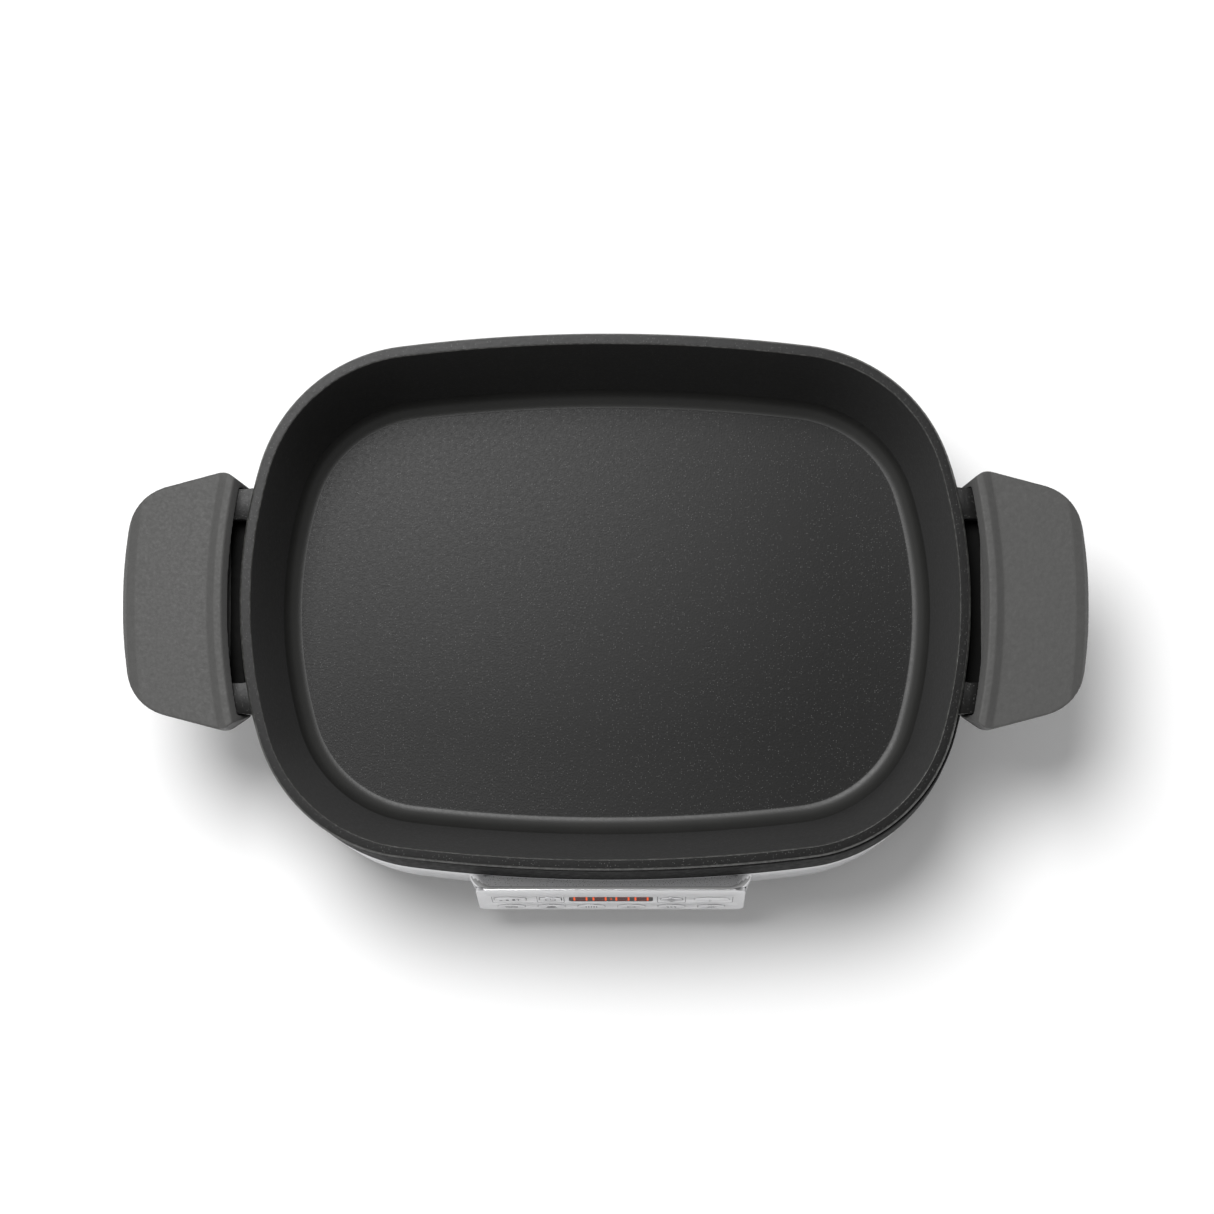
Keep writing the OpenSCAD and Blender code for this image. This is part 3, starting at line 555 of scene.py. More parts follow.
NONSTICK = nonstick()
RIM_HIGHLIGHT = rim_edge_highlight()
FILLET_HIGHLIGHT = fillet_highlight()
GRIP = silicone("grip_silicone", (0.056, 0.0555, 0.054))
BLACK = moulded("black_moulding", (0.024, 0.024, 0.023), 0.46)
# Black plastic painted darker still and almost unreflecting: painted shade, for the collar under the rim, the grips'
# lower lips and the ledges.
SHADED_BLACK = moulded("black_moulding_painted_shade", (0.006, 0.006, 0.0058), 0.46, specular=0.02)
STEEL = brushed("brushed_shell", (0.56, 0.56, 0.57), 0.34)
SILVER = satin("panel_metal", (0.58, 0.58, 0.59), 0.34, 1.0)
HOUSING = satin("housing_metal", (0.58, 0.58, 0.59), 0.30, 1.0)
# Darker metal for the front faces over the fascia: painted shade of the seam there.
SEAM_SHADE = satin("housing_painted_seam_shade", (0.26, 0.26, 0.26), 0.34, 1.0)
KEY_SILVER = satin("key_metal", (0.57, 0.57, 0.58), 0.34, 1.0)
PRINT = moulded("grey_print", (0.10, 0.10, 0.105), 0.6, 3000, 0.000005)
WINDOW = tinted_window()
LIT = glow("lit_segment", (1.0, 0.12, 0.02), 0.95)
# The unlit segments glow faintly in dark red: a painted glow.
UNLIT = glow("unlit_segment_painted_glow", (0.6, 0.02, 0.005), 0.22)
LINER = brushed("liner_sheet", (0.50, 0.50, 0.50), 0.38, (2600, 2600, 8))
PLATE = turned("heating_plate", (0.52, 0.52, 0.53), 0.38)

SLOTS = {
    "pan": NONSTICK,
    "grip": GRIP,
    "black_shell": BLACK,
    "shell_steel": STEEL,
    "panel_silver": SILVER,
    "key": KEY_SILVER,
    "display": WINDOW,
    "liner": LINER,
    "plate": PLATE,
    "cover_black": moulded("cover_moulding", (0.028, 0.028, 0.028), 0.55, 800, 0.00008),
    "foot": moulded("foot_rubber", (0.020, 0.020, 0.020), 0.8, 900, 0.00006),
    "screw": cast_metal("zinc_steel", (0.55, 0.55, 0.53), 0.32),
    "element": cast_metal("oxidised_sheath", (0.10, 0.085, 0.075), 0.55, 0.8),
    "insulator": moulded("ceramic_bead", (0.78, 0.75, 0.69), 0.6, 600, 0.00005),
    "sensor": brushed("sensor_cap", (0.55, 0.55, 0.55), 0.3, (1800, 1800, 200)),
    "brass": cast_metal("brass_parts", (0.68, 0.50, 0.20), 0.3),
    "inlet": moulded("black_plastic", (0.022, 0.022, 0.022), 0.45),
    "board": moulded("circuit_board", (0.015, 0.10, 0.040), 0.42, 400, 0.00004),
    "relay": moulded("relay_case", (0.02, 0.06, 0.24), 0.3, 500, 0.00002),
    "transformer": moulded("transformer_tape", (0.62, 0.46, 0.07), 0.45, 300, 0.00006),
    "capacitor": moulded("capacitor_case", (0.62, 0.36, 0.04), 0.35, 500, 0.00002),
    "terminal": moulded("terminal_body", (0.03, 0.22, 0.07), 0.45, 500, 0.00002),
    "wire": moulded("lead_sleeve", (0.10, 0.045, 0.02), 0.5, 900, 0.00003),
    "sleeve_wire": moulded("glass_fibre_sleeve", (0.62, 0.60, 0.52), 0.8, 1600, 0.00008),
    "ribbon": moulded("ribbon_core", (0.42, 0.42, 0.44), 0.5, 900, 0.00003),
}

slot_of = {part["node"]: part["material_slot"] for part in frame["record"]["subparts"]}
for node_name, node in frame["nodes"].items():
    node.data.materials.clear()
    node.data.materials.append(SLOTS[slot_of[node_name]])
    shade(node.data, 30)


# ---- Pan ----
DRAFT = math.radians(6.7)
RIM_T = 5.3
LIP_DROP = 5.0
WALL_T = 3.65
FILLET_IN, FILLET_OUT = 9.0, 12.5
END_LEAN = 0.5


def wall_offset(t0, z0, z):
    """Offset, at height z, of a wall line that leans inwards by the draft from (t0, z0)."""
    return t0 + (z - z0) * math.tan(DRAFT)


def make_pan():
    depth = (RIM_Z - FLOOR_Z) / MM
    base = (RIM_Z - PAN_BASE) / MM
    outer_t0 = -RIM_T + WALL_T - (LIP_DROP - 1) * math.tan(DRAFT)
    inner_low = wall_offset(-RIM_T, -1, -depth)
    outer_low = wall_offset(outer_t0, -LIP_DROP, -base)
    section = rounded(
        [
            (-60, -depth, 0),
            (inner_low, -depth, FILLET_IN),
            (-RIM_T, -0.5, 0.7),
            (-RIM_T + 0.45, 0, 0.35),
            (-0.9, 0, 0.5),
            (0, -1.2, 0.8),
            (0, -LIP_DROP + 1.2, 0.8),
            (outer_t0, -LIP_DROP, 0.8),
            (outer_low, -base, FILLET_OUT),
            (-60, -base, 0),
        ],
        20,
        closed=False,
    )
    profile = [(t, RIM_Z + z) for t, z in section]
    mesh = swept("pan", profile, False, True, True, 0, END_LEAN)
    pan = piece("pan", mesh, NONSTICK, "pan", ["pan_casting"], 40)
    mesh.materials.append(RIM_HIGHLIGHT)
    mesh.materials.append(FILLET_HIGHLIGHT)
    # Painted highlight: faces of the fillet, below fillet_top and between steepest and flattest, take the lighter
    # fillet coating.
    fillet_top = FLOOR_Z + FILLET_IN * MM
    steepest, flattest = math.cos(math.radians(75)), math.cos(math.radians(6))
    for face in mesh.polygons:
        spot, steep = face.center, face.normal.z
        inwards = Vector((spot.x, spot.y - PAN_Y)).dot(face.normal.xy) < 0
        # Painted highlight: faces of the rim's rounded edges take the lighter rim-edge material.
        if spot.z > RIM_Z - 1.4 * MM and 0.2 < steep < 0.97:
            face.material_index = 1
        elif inwards and spot.z < fillet_top and steepest < steep < flattest:
            face.material_index = 2
    return pan


LOOP_HALF, LOOP_BAR, ARM_W, LOOP_CORNER = 53.5, 12.0, 14.5, 14.0
LOOP_TOP, LOOP_LOW = -4.0, -13.0


def loop_outline():
    """Plan of the right loop: two arms rooted in the pan's wall, joined by a bar. Millimetres."""
    out = (HALF_W + LOOP_REACH) / MM
    inner_half = LOOP_HALF - ARM_W
    outer_root, inner_root = [edge_x(y * MM, -4.8 * MM) / MM for y in (LOOP_HALF, inner_half)]
    outer = [(outer_root, LOOP_HALF + 0.9, 0), (outer_root + 9, LOOP_HALF, 8), (out, LOOP_HALF, LOOP_CORNER)]
    inner = [(out - LOOP_BAR, inner_half, 6), (inner_root + 7, inner_half, 6), (inner_root, inner_half - 1.6, 0)]
    upper = inner + outer
    return rounded(upper + [(x, -y, r) for x, y, r in reversed(upper)], 8)


def make_loops():
    """Cast loops: level by the rim, then lower where the sleeve goes over them."""
    points = loop_outline()
    step_x, step_z = HALF_W + 5.5 * MM, -1.9 * MM
    for side, name in ((1, "right"), (-1, "left")):
        flat = [(side * x, y + PAN_Y) for x, y in points]
        solid = prism(name, flat, RIM_Z + LOOP_LOW * MM, RIM_Z + LOOP_TOP * MM)
        bm = bmesh.new()
        bm.from_mesh(solid)
        for reach in (0.0, 2.6 * MM):
            geometry = bm.verts[:] + bm.edges[:] + bm.faces[:]
            bmesh.ops.bisect_plane(bm, geom=geometry, plane_co=(side * (step_x + reach), 0, 0), plane_no=(side, 0, 0))
        for vert in bm.verts:
            if vert.co.z > RIM_Z + LOOP_TOP * MM - 1e-5:
                vert.co.z += step_z * min(1, max(0, (side * vert.co.x - step_x) / (2.6 * MM)))
        bm.to_mesh(solid)
        bm.free()
        soft = with_modifiers(
            solid, ("BEVEL", {"width": 1.3 * MM, "segments": 3, "limit_method": "ANGLE", "angle_limit": 1.0})
        )
        piece(f"{name}_cast_loop", soft, NONSTICK, "pan", (), 50)


# ---- Grips ----
# The lower lip within these bounds is painted near-black as shade.
SHADED_LIP_X, SHADED_LIP_Z = HALF_W + 6.4 * MM, RIM_Z - 16.9 * MM  # bounds of the mouth's lower lip


def make_grips():
    """The CAD sleeves, with every edge softened as on a silicone moulding."""
    for side in ("left", "right"):
        node = frame["nodes"][f"{side}_grip"]
        mesh = node.data.copy()
        soft = with_modifiers(
            mesh,
            ("REMESH", {"mode": "VOXEL", "voxel_size": 0.45 * MM}),
            ("SMOOTH", {"factor": 0.5, "iterations": 8}),
        )
        piece(f"{side}_sleeve_grip", soft, GRIP, f"{side}_grip", [f"{side}_grip"], 60)
        # Painted shade: the lower lip of the mouth, beside the rim, takes the black painted darker for shade instead
        # of the grip's grey.
        soft.materials.append(SHADED_BLACK)
        for face in soft.polygons:
            if abs(face.center.x) < SHADED_LIP_X and face.center.z < SHADED_LIP_Z:
                face.material_index = 1


# ---- Base shells ----
SHELL_LOW_T, SHELL_HIGH_T, SHEET_T = 9.5, 4.9, 1.2  # offsets of the shell's foot and top, and its thickness
LEDGE_DROP = 12  # of the side ledges, under the collar's top
LEDGE_REACH, LEDGE_HALF, LEDGE_CORNER, LEDGE_T = 30, 44, 14, 4
LEDGE_LIP, LEDGE_LIP_T = 8, 3.2
LEDGE_ROOT_T = 0.3
LIP_CLEAR_T = SHELL_LOW_T + 2


def ledge_mesh(side, top):
    """Lifting ledge under one grip: a plate with a lip turned down. top is in millimetres."""
    reach, half, corner = HALF_W / MM + LEDGE_REACH, LEDGE_HALF, LEDGE_CORNER
    thick, lip, lip_w = LEDGE_T, LEDGE_LIP, LEDGE_LIP_T

    def plan(inset, root_t, steps=24):
        """Plan from the root along the collar, round the outer edge and back."""
        y = half - inset
        places = [-y + 2 * y * k / steps for k in range(steps + 1)]
        root = [(edge_x(place * MM, root_t * MM) / MM, place, 0) for place in places]
        out = reach - inset
        return rounded(root + [(out, y, corner - inset), (out, -y, corner - inset)], 8)

    def solid(points, low, high):
        # Anticlockwise from above on both sides, so that the solid isn't inside out.
        flat = [(BASE_X + side * x, y + PAN_Y) for x, y in points][::-side]
        return prism("ledge", flat, low * MM, high * MM)

    block = solid(plan(0, LEDGE_ROOT_T), top - thick - lip, top)
    under = solid(plan(lip_w, -0.6), top - thick - lip - 1, top - thick)
    shell_side = [(BASE_X + x, y + PAN_Y) for x, y in outline(LIP_CLEAR_T * MM)]
    clear = prism("clear", shell_side, (top - thick - lip - 1) * MM, (top - thick) * MM)
    mesh = cut(cut(block, under), clear)
    return with_modifiers(
        mesh, ("BEVEL", {"width": 0.8 * MM, "segments": 3, "limit_method": "ANGLE", "angle_limit": 0.9})
    )


def make_shells():
    low, high = SHELL_LOW / MM, SHELL_HIGH / MM
    top = COLLAR_HIGH / MM
    shell_low_t, shell_high_t, sheet = SHELL_LOW_T, SHELL_HIGH_T, SHEET_T
    shell = rounded(
        [
            (shell_low_t, low, 0.4),
            (shell_high_t, high, 0.4),
            (shell_high_t - sheet, high, 0.2),
            (shell_low_t - sheet, low, 0.2),
        ],
        3,
    )
    piece("outer_shell", swept("outer_shell", shell, drawn_in=True), STEEL, "base", ["outer_shell"], 40)
    collar = rounded(
        [
            (shell_high_t, high + 0.4, 0.4),
            (0.75, top - 1.6, 2.0),
            (0, top, 0.7),
            (-1.5, top, 0.5),
            (-2.9, top - 11, 0.2),
            (-0.9, top - 11, 0.2),
            (-0.2, top - 6, 0.5),
            (shell_high_t - 3.2, high + 1, 0.2),
            (shell_high_t - 3.2, high - 5.8, 0.2),
            (shell_high_t - 1.5, high - 5.8, 0.2),
            (shell_high_t - 1.5, high + 0.4, 0),
        ],
        4,
    )
    # The collar is black plastic, painted darker still for the shade under the rim.
    piece("top_collar", swept("top_collar", collar, drawn_in=True), SHADED_BLACK, "base", ["top_collar"], 40)
    # The ledges take the black painted darker for shade.
    for side, name in ((1, "right"), (-1, "left")):
        piece(f"{name}_base_ledge", ledge_mesh(side, top - LEDGE_DROP), SHADED_BLACK, "base", (), 40)
    floor = SKIRT_LOW / MM
    edge = low - 0.2
    skirt = rounded(
        [
            (shell_low_t - 4.5, floor, 0.4),
            (shell_low_t - 1.5, floor, 2.2),
            (shell_low_t - 0.2, edge, 0.4),
            (shell_low_t - 1.8, edge, 0.1),
            (shell_low_t - 1.8, edge + 5, 0.2),
            (shell_low_t - 3.2, edge + 5, 0.2),
            (shell_low_t - 3.7, floor + 6, 0.5),
            (-14, floor + 6, 0.3),
            (-14, floor + 3, 0.3),
            (2, floor + 3, 0.1),
            (2, floor, 0.3),
        ],
        4,
    )
    inlet_low, inlet_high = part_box("power_inlet")
    half_w = (inlet_high.x - inlet_low.x) / 2 - 2.2 * MM
    low_z, high_z = inlet_low.z + 2.3 * MM, inlet_high.z - 2.3 * MM
    middle, inner_y = (inlet_low.x + inlet_high.x) / 2, inlet_high.y - 30 * MM
    hole = prism(
        "hole",
        [(middle - half_w, inner_y), (middle + half_w, inner_y), (middle + half_w, 1), (middle - half_w, 1)],
        low_z,
        high_z,
    )
    mesh = cut(swept("base_skirt", skirt, drawn_in=True), hole)
    piece("base_skirt", mesh, BLACK, "base", ["base_skirt"], 40)


def make_well():
    """The sheet-metal well and the faced heating plate, seen once the pan is lifted."""
    low, high = LINER_LOW / MM, LINER_HIGH / MM
    sheet = 0.8
    floor = low + sheet
    wall = [(-2.8, high, 1.2), (-6.2, floor + 26, 60), (-7.5, floor + 16, 24), (-10, floor + 8.5, 12),
            (-17, floor + 2.5, 18), (-24, floor, 20)]
    back = [(-24 + 0.3, low, 20), (-17 + 0.6, low + 2.5, 18), (-10 + sheet, floor + 8, 12),
            (-7.5 + sheet, floor + 15.9, 24), (-6.2 + sheet, floor + 25.8, 60), (-2.8 + sheet, high - sheet, 0.6)]
    section = [(-1.0, high, 0), *wall, (-50, floor, 0), (-50, low, 0), *back, (-1.0, high - sheet, 0)]
    mesh = swept("inner_liner", rounded(section, 6))
    piece("inner_liner", mesh, LINER, "base", ["inner_liner"], 40)

    high = PLATE_HIGH / MM
    plate_low = PLATE_LOW / MM
    rim = plate_low + 3
    section = rounded(
        [(-70, high, 0), (-40, high, 1.2), (-40, rim, 0.5), (-53, rim, 0), (-53, plate_low, 0.5), (-70, plate_low, 0)],
        4,
        closed=False,
    )
    mesh = swept("heating_plate", section, closed=False, cap_first=True, cap_last=True)
    bore = prism("bore", [(x + BASE_X, y + PAN_Y) for x, y in circle(15, steps=96)], 0.03, 0.09)
    piece("heating_plate", cut(mesh, bore), PLATE, "base", ["heating_plate"], 40)


# ---- Control panel ----
FACE_TILT = math.radians(12.1)
FACE_NORMAL = Vector((0, -math.cos(FACE_TILT), math.sin(FACE_TILT)))
FASCIA_FRONT, FASCIA_BACK = 0.6, -1.6
fascia_low, fascia_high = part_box("fascia")
FACE_ORIGIN = (fascia_low + fascia_high) / 2 - FACE_NORMAL * (FASCIA_FRONT + FASCIA_BACK) / 2 * MM
ON_FACE = Matrix.Translation(FACE_ORIGIN) @ Matrix.Rotation(math.pi / 2 - FACE_TILT, 4, "X")
FASCIA_W, FASCIA_H = 131.0, 48.0
KEY_PITCH = 19.8
COLUMNS = [(i - 2.5) * KEY_PITCH for i in range(6)]
ROW_HIGH, ROW_LOW, CREASE = 1.8, -16.0, -7.0
KEY_GAP = 0.3
KEY_FRONT, KEY_BACK = 0.9, -2.5


def face_depth(z):
    """y of the sloping face at height z."""
    return FACE_ORIGIN.y + (z - FACE_ORIGIN.z) * math.tan(FACE_TILT)


def make_housing():
    """Box with rounded corners whose front leans back, faired into the shell behind it."""
    low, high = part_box("control_housing")
    half_w = (high.x - low.x) / 2
    back = -HALF_D - 3.0 * MM + PAN_Y
    corner = 9 * MM
    low_r, high_r, side_r = 4.5 * MM, 1.6 * MM, 7 * MM
    steps = 6
    rings = []

    def ring(inset, z, face_z):
        front = max(face_depth(face_z), low.y) + inset
        under = max(0, z - high.z + side_r)
        w = half_w - max(inset, side_r - math.sqrt(side_r**2 - under**2)) - (high.z - z) * 0.05
        r = max(corner - inset, 1 * MM)
        points = [(BASE_X - w, back, z)]
        for k in range(11):
            a = math.pi + math.pi / 2 * k / 10
            points.append((BASE_X - w + r + r * math.cos(a), front + r + r * math.sin(a), z))
        for k in range(11):
            a = -math.pi / 2 + math.pi / 2 * k / 10
            points.append((BASE_X + w - r + r * math.cos(a), front + r + r * math.sin(a), z))
        points.append((BASE_X + w, back, z))
        return points

    face_low, face_top = low.z + low_r, high.z - high_r - 0.4 * MM
    for k in range(steps + 1):
        a = math.pi / 2 * k / steps
        rings.append(ring(low_r * (1 - math.sin(a)), face_low - low_r * math.cos(a), face_low))
    for k in range(1, steps + 3):
        z = high.z - side_r + (face_top - high.z + side_r) * k / (steps + 3)
        rings.append(ring(0, z, z))
    for k in range(steps + 1):
        a = math.pi / 2 * k / steps
        rings.append(ring(high_r * (1 - math.cos(a)), face_top + high_r * math.sin(a), face_top))
    rings.append(ring(high_r + 3 * MM, high.z, face_top))
    body = lofted("control_housing", rings)
    opening = prism("opening", rounded_rect(FASCIA_W + 0.5, FASCIA_H + 0.5, 5.3), -6 * MM, 20 * MM)
    opening.transform(ON_FACE)
    mesh = cut(body, opening)
    piece("control_housing", mesh, HOUSING, "base", ["control_housing"], 40)
    # Painted shade: the housing's front faces above the fascia take the darker metal, for the shaded seam over the
    # fascia's top edge.
    mesh.materials.append(SEAM_SHADE)
    for face in mesh.polygons:
        if face.normal.y < -0.3 and face.center.z > fascia_high.z - 0.5 * MM:
            face.material_index = 1


def half_moon(r, side, gap):
    """Upper (side 1) or lower (side -1) part of the round key, in millimetres."""
    centre_y = ROW_HIGH
    edge = 0.7 + gap
    low = math.degrees(math.asin(edge / r))
    points = circle(r, COLUMNS[4], 0, 28, low, 180 - low)
    return [(x, side * y + centre_y * MM) for x, y in points]


def key_outlines(grow=0.0):
    """Name of each key to the outline of its cap."""
    g = 2 * grow
    found = {
        "level_key": rounded_rect(15.4 + g, 9.6 + g, 2.6, COLUMNS[0], ROW_HIGH),
        "timer_key": rounded_rect(10.6 + g, 9.6 + g, 2.6, COLUMNS[1], ROW_HIGH),
        "start_key": rounded_rect(17 + g, 8.4 + g, 9, COLUMNS[5], ROW_HIGH, 12),
    }
    for i, x in enumerate(COLUMNS):
        found[f"program_key_{i + 1}"] = rounded_rect(13.4 + g, 9.6 + g, 9, x, ROW_LOW, 12)
    return found


ARROW_R = 5.4
WINDOW_W, WINDOW_H = 41.0, 11.0


def make_fascia():
    holes = list(key_outlines(KEY_GAP).values())
    holes.append(circle(ARROW_R + KEY_GAP, COLUMNS[4], ROW_HIGH))
    holes.append(rounded_rect(WINDOW_W + 0.2, WINDOW_H + 0.2, 1.6, 0, ROW_HIGH))
    outer = rounded_rect(FASCIA_W, FASCIA_H, 5, 0, 0, 10)
    mesh = plate("fascia", [outer, *holes], FASCIA_BACK * MM, FASCIA_FRONT * MM, 0.22 * MM, ON_FACE)
    piece("fascia", mesh, SILVER, "base", ["fascia"], 30)


def make_print():
    """Fine grey lines on the fascia: the crease under the upper row and the brackets round its keys."""
    lines = []
    top = 8.2
    line = 0.32

    def bracket(x, side):
        r = 2.0
        bend = [
            (x - side * (r - r * math.cos(a)), CREASE + r - r * math.sin(a) + 0.15)
            for a in [math.pi / 2 * k / 6 for k in range(7)]
        ]
        lines.append(stroke([(x, top)] + bend, line))

    bracket(COLUMNS[0] - 8.9, -1)
    bracket(COLUMNS[1] - 6.6, -1)
    bracket(COLUMNS[1] + 6.6, 1)
    bracket(COLUMNS[4] - 6.9, -1)
    bracket(COLUMNS[4] + 6.9, 1)
    bracket(COLUMNS[5] + 10.2, 1)
    for left, right in ((COLUMNS[0] - 6.9, COLUMNS[1] - 8.6), (COLUMNS[1] - 4.6, COLUMNS[1] + 4.6),
                        (COLUMNS[4] - 4.9, COLUMNS[4] + 4.9), (COLUMNS[5] - 8, COLUMNS[5] + 8.2)):
        lines.append(stroke([(left, CREASE), (right, CREASE)], line))
    meshes = [plate("line", [p], FASCIA_FRONT * MM, (FASCIA_FRONT + 0.03) * MM, 0, ON_FACE) for p in lines]
    piece("fascia_lines", joined("fascia_lines", meshes), PRINT, "base")


def dome(name, points, low, high, crown):
    """Key cap whose top swells by crown, on an outline in metres."""
    cx = sum(x for x, _ in points) / len(points)
    cy = sum(y for _, y in points) / len(points)

    def scaled(k, z):
        return [(cx + (x - cx) * k, cy + (y - cy) * k, z) for x, y in points]

    rings = [scaled(1, low * MM), scaled(1, (high - crown - 0.25) * MM), scaled(0.985, (high - crown) * MM)]
    for k in (0.93, 0.82, 0.66, 0.48, 0.3, 0.14, 0.04):
        rings.append(scaled(k, (high - crown * k * k) * MM))
    mesh = lofted(name, rings)
    mesh.transform(ON_FACE)
    return mesh


def icon_outlines():
    """Plain pictograms for the keys, as outlines about each key's centre, in millimetres."""
    icons = {}
    bars = [stroke([(-4.6 + 3.2 * i, -2.0), (-4.6 + 3.2 * i, -2.0 + 1.4 * (i + 1))], 1.4) for i in range(3)]
    arrow = [stroke([(4.0, -2.0), (4.0, 2.4)], 0.4), stroke([(3.0, 1.2), (4.0, 2.4), (5.0, 1.2)], 0.4)]
    icons["level_key"] = bars + arrow
    icons["timer_key"] = ring_line(2.5, 0.45) + [stroke([(0, -0.1), (0, 1.6)], 0.4), stroke([(0, 0), (1.1, 0)], 0.4)]
    icons["start_key"] = [[(-1.5 * MM, -1.9 * MM), (2.0 * MM, 0), (-1.5 * MM, 1.9 * MM)]]

    def wave(y, phase=0.0):
        return stroke([(x / 4, y + 0.45 * math.sin(x / 4 * 2.2 + phase)) for x in range(-12, 13)], 0.4)

    icons["program_key_1"] = [wave(-1.3), wave(0), wave(1.3)]
    icons["program_key_2"] = [rounded_rect(5.6, 0.5, 0.2, 0, -1.8), rounded_rect(4.4, 2.4, 0.8, 0, 0.1),
                              rounded_rect(1.2, 0.5, 0.2, 0, 1.9)]
    icons["program_key_3"] = [stroke([(-2.6 + 1.3 * i, -1.7), (-2.6 + 1.3 * i, 1.7)], 0.45) for i in range(5)]
    icons["program_key_4"] = ring_line(1.9, 0.45) + [stroke([(1.9, 0), (4.2, 0)], 0.5)]
    icons["program_key_5"] = [
        stroke([(x + 0.5 * math.sin(k * 0.9), -1.8 + 0.4 * k) for k in range(10)], 0.42) for x in (-1.8, 0, 1.8)
    ]
    icons["program_key_6"] = ring_line(1.1, 0.4) + [
        stroke([(1.8 * math.cos(a), 1.8 * math.sin(a)), (2.6 * math.cos(a), 2.6 * math.sin(a))], 0.4)
        for a in [math.pi / 4 * k for k in range(8)]
    ]
    return icons


def make_keys():
    caps = key_outlines()
    icons = icon_outlines()
    places = {
        "level_key": (COLUMNS[0], ROW_HIGH),
        "timer_key": (COLUMNS[1], ROW_HIGH),
        "start_key": (COLUMNS[5], ROW_HIGH),
    }
    places.update({f"program_key_{i + 1}": (x, ROW_LOW) for i, x in enumerate(COLUMNS)})
    for name, points in caps.items():
        if name == "start_key":
            mesh = dome(name, points, KEY_BACK, 1.3, 0.6)
            print_z = 1.24
        else:
            mesh = plate(name, [points], KEY_BACK * MM, KEY_FRONT * MM, 0.2 * MM, ON_FACE)
            print_z = KEY_FRONT
        piece(name, mesh, KEY_SILVER, name, [name], 30)
        x, y = places[name]
        marks = [plate("mark", [shape], 0, 0.03 * MM, 0, ON_FACE @ Matrix.Translation((x * MM, y * MM, print_z * MM)))
                 for shape in icons[name]] if name not in ("timer_key", "program_key_4", "program_key_6") else [
                     plate("mark", icons[name][:2], 0, 0.03 * MM, 0,
                           ON_FACE @ Matrix.Translation((x * MM, y * MM, print_z * MM)))] + [
                     plate("mark", [shape], 0, 0.03 * MM, 0,
                           ON_FACE @ Matrix.Translation((x * MM, y * MM, print_z * MM))) for shape in icons[name][2:]]
        piece(f"{name}_mark", joined(f"{name}_mark", marks), PRINT, name)
    for name, side in (("up_key", 1), ("down_key", -1)):
        mesh = plate(name, [half_moon(ARROW_R, side, 0)], KEY_BACK * MM, KEY_FRONT * MM, 0.2 * MM, ON_FACE)
        piece(name, mesh, KEY_SILVER, name, [name], 30)
        arrow = [(COLUMNS[4] + x, ROW_HIGH + side * y) for x, y in ((-2.2, 1.7), (2.2, 1.7), (0, 3.9))]
        arrow = [(x * MM, y * MM) for x, y in arrow]
        mark = plate("mark", [arrow], KEY_FRONT * MM, (KEY_FRONT + 0.03) * MM, 0, ON_FACE)
        piece(f"{name}_mark", mark, PRINT, name)


def make_display():
    edge = rounded_rect(WINDOW_W, WINDOW_H, 1.5, 0, ROW_HIGH)
    window = plate("display_window", [edge], -1.5 * MM, 0.38 * MM, 0.1 * MM,
                   ON_FACE)
    piece("display_window", window, WINDOW, "base", ["display_window"], 30)
    width, height, thick = 6.0, 8.4, 0.95
    lit, unlit = [], []

    def segment(x0, y0, x1, y1):
        """Bar with pointed ends."""
        d = (Vector((x1, y1)) - Vector((x0, y0))).normalized()
        n = Vector((-d.y, d.x)) * thick / 2
        a = Vector((x0, y0)) + d * 0.12
        b = Vector((x1, y1)) - d * 0.12
        tip = d * thick / 2
        return [(p.x * MM, p.y * MM) for p in (a, a + tip + n, b - tip + n, b, b - tip - n, a + tip - n)]

    for cx in (-15.0, -5.6, 5.6, 15.0):
        w, h = width / 2, height / 2
        y = ROW_HIGH
        lit += [
            segment(cx - w, y, cx - w, y + h), segment(cx - w, y - h, cx - w, y),
            segment(cx + w, y, cx + w, y + h), segment(cx + w, y - h, cx + w, y),
        ]
        unlit += [segment(cx - w, y + k * h, cx + w, y + k * h) for k in (-1, 0, 1)]
    for dy in (-1.7, 1.7):
        lit.append(circle(0.55, 0, ROW_HIGH + dy, 16))
    for name, shapes, material in (("display_digits", lit, LIT), ("display_unlit", unlit, UNLIT)):
        meshes = [plate("segment", [s], 0.38 * MM, 0.42 * MM, 0, ON_FACE) for s in shapes]
        piece(name, joined(name, meshes), material, "base")


# ---- Stage ----
CAMERA_DISTANCE = 1.5
CAMERA_TILT = math.radians(4.4)
FRAME_PIXELS = 1214
PIXELS_PER_METRE = 2116  # at the rim, in the 1214 pixel frame


def make_camera():
    data = bpy.data.cameras.new("camera")
    data.sensor_width = 36
    data.lens = 36 * PIXELS_PER_METRE * CAMERA_DISTANCE / FRAME_PIXELS
    camera = bpy.data.objects.new("camera", data)
    bpy.context.scene.collection.objects.link(camera)
    rim = Vector((0, PAN_Y, RIM_Z))
    camera.location = rim + CAMERA_DISTANCE * Vector((0, -math.sin(CAMERA_TILT), math.cos(CAMERA_TILT)))
    camera.location.x += 20 * MM
    ahead = (rim + Vector((1.1, -3.3, 0)) * MM - camera.location).normalized()
    right = ahead.cross((0, 1, 0)).normalized()
    camera.rotation_mode = "QUATERNION"
    camera.rotation_quaternion = Matrix((right, right.cross(ahead), -ahead)).transposed().to_quaternion()
    bpy.context.scene.camera = camera


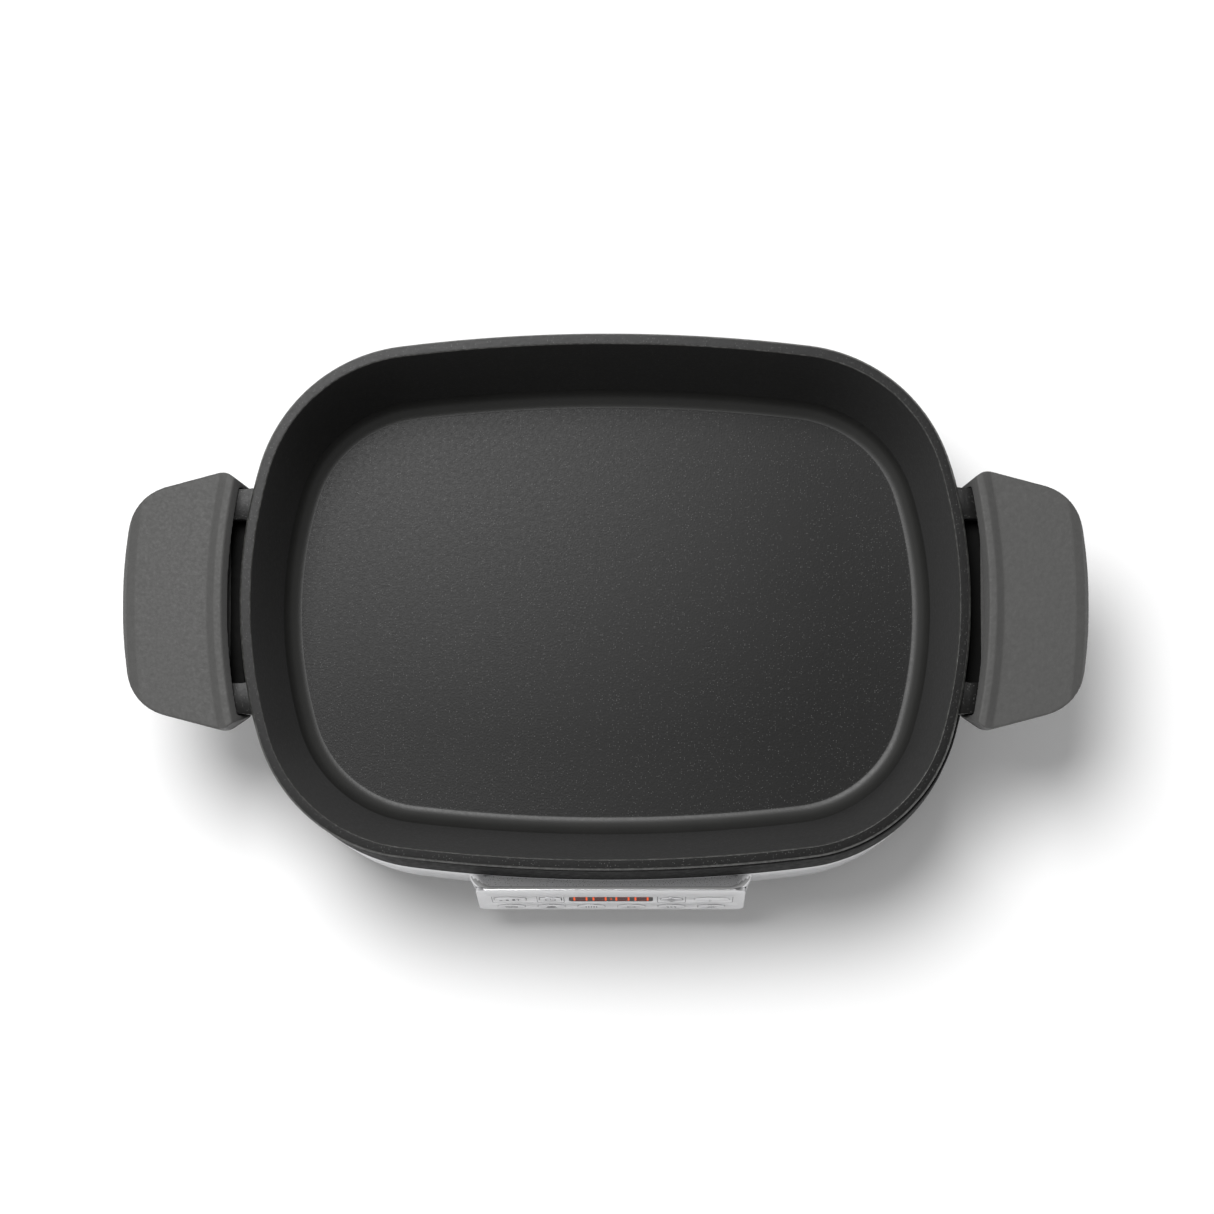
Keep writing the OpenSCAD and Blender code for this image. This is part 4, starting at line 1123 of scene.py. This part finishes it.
def make_stage():
    floor = mesh_of("floor", [(-4, -4, 0), (4, -4, 0), (4, 4, 0), (-4, 4, 0)], [(0, 1, 2, 3)])
    obj = bpy.data.objects.new("floor", floor)
    bpy.context.scene.collection.objects.link(obj)
    paint = Paint("studio_floor", (0.97, 0.97, 0.97), 0.9, specular=0.1)
    paint.mottle(3, 0.01)
    floor.materials.append(paint.material)


def area_light(name, place, aim, size, power):
    data = bpy.data.lights.new(name, "AREA")
    data.shape = "DISK"
    data.size = size
    data.energy = power
    light = bpy.data.objects.new(name, data)
    light.location = place
    light.rotation_mode = "QUATERNION"
    light.rotation_quaternion = (Vector(aim) - Vector(place)).to_track_quat("-Z", "Y")
    bpy.context.scene.collection.objects.link(light)


def make_world():
    """Even studio surround: dim overhead, brighter towards the horizon and on the left."""
    world = bpy.data.worlds.new("studio")
    bpy.context.scene.world = world
    world.use_nodes = True
    tree = world.node_tree
    direction = tree.nodes.new("ShaderNodeTexCoord")
    split = tree.nodes.new("ShaderNodeSeparateXYZ")
    link(tree, direction.outputs["Generated"], split.inputs["Vector"])
    ramp = tree.nodes.new("ShaderNodeValToRGB")
    stops = [(0.0, 0.62), (0.35, 0.60), (0.72, 0.42), (0.93, 0.20), (1.0, 0.14)]
    ramp.color_ramp.elements[0].position = stops[0][0]
    ramp.color_ramp.elements[1].position = stops[-1][0]
    for position, _ in stops[1:-1]:
        ramp.color_ramp.elements.new(position)
    for element, (_, level) in zip(ramp.color_ramp.elements, stops):
        element.color = (level, level, level, 1)
    link(tree, split.outputs["Z"], ramp.inputs["Fac"])
    side = tree.nodes.new("ShaderNodeMapRange")
    for key, value in (("From Min", -1), ("From Max", 1), ("To Min", 1.25), ("To Max", 0.78)):
        side.inputs[key].default_value = value
    link(tree, split.outputs["X"], side.inputs["Value"])
    background = tree.nodes["Background"]
    link(tree, ramp.outputs["Color"], background.inputs["Color"])
    link(tree, side.outputs["Result"], background.inputs["Strength"])


def make_lights():
    area_light("key", (-0.37, PAN_Y + 0.63, 2.25), (0, PAN_Y, 0.1), 0.96, 48)
    make_world()
    bpy.context.scene.view_settings.view_transform = "Standard"


make_camera()
make_pan()
make_loops()
make_grips()
make_shells()
make_well()
make_housing()
make_fascia()
make_print()
make_keys()
make_display()
make_stage()
make_lights()
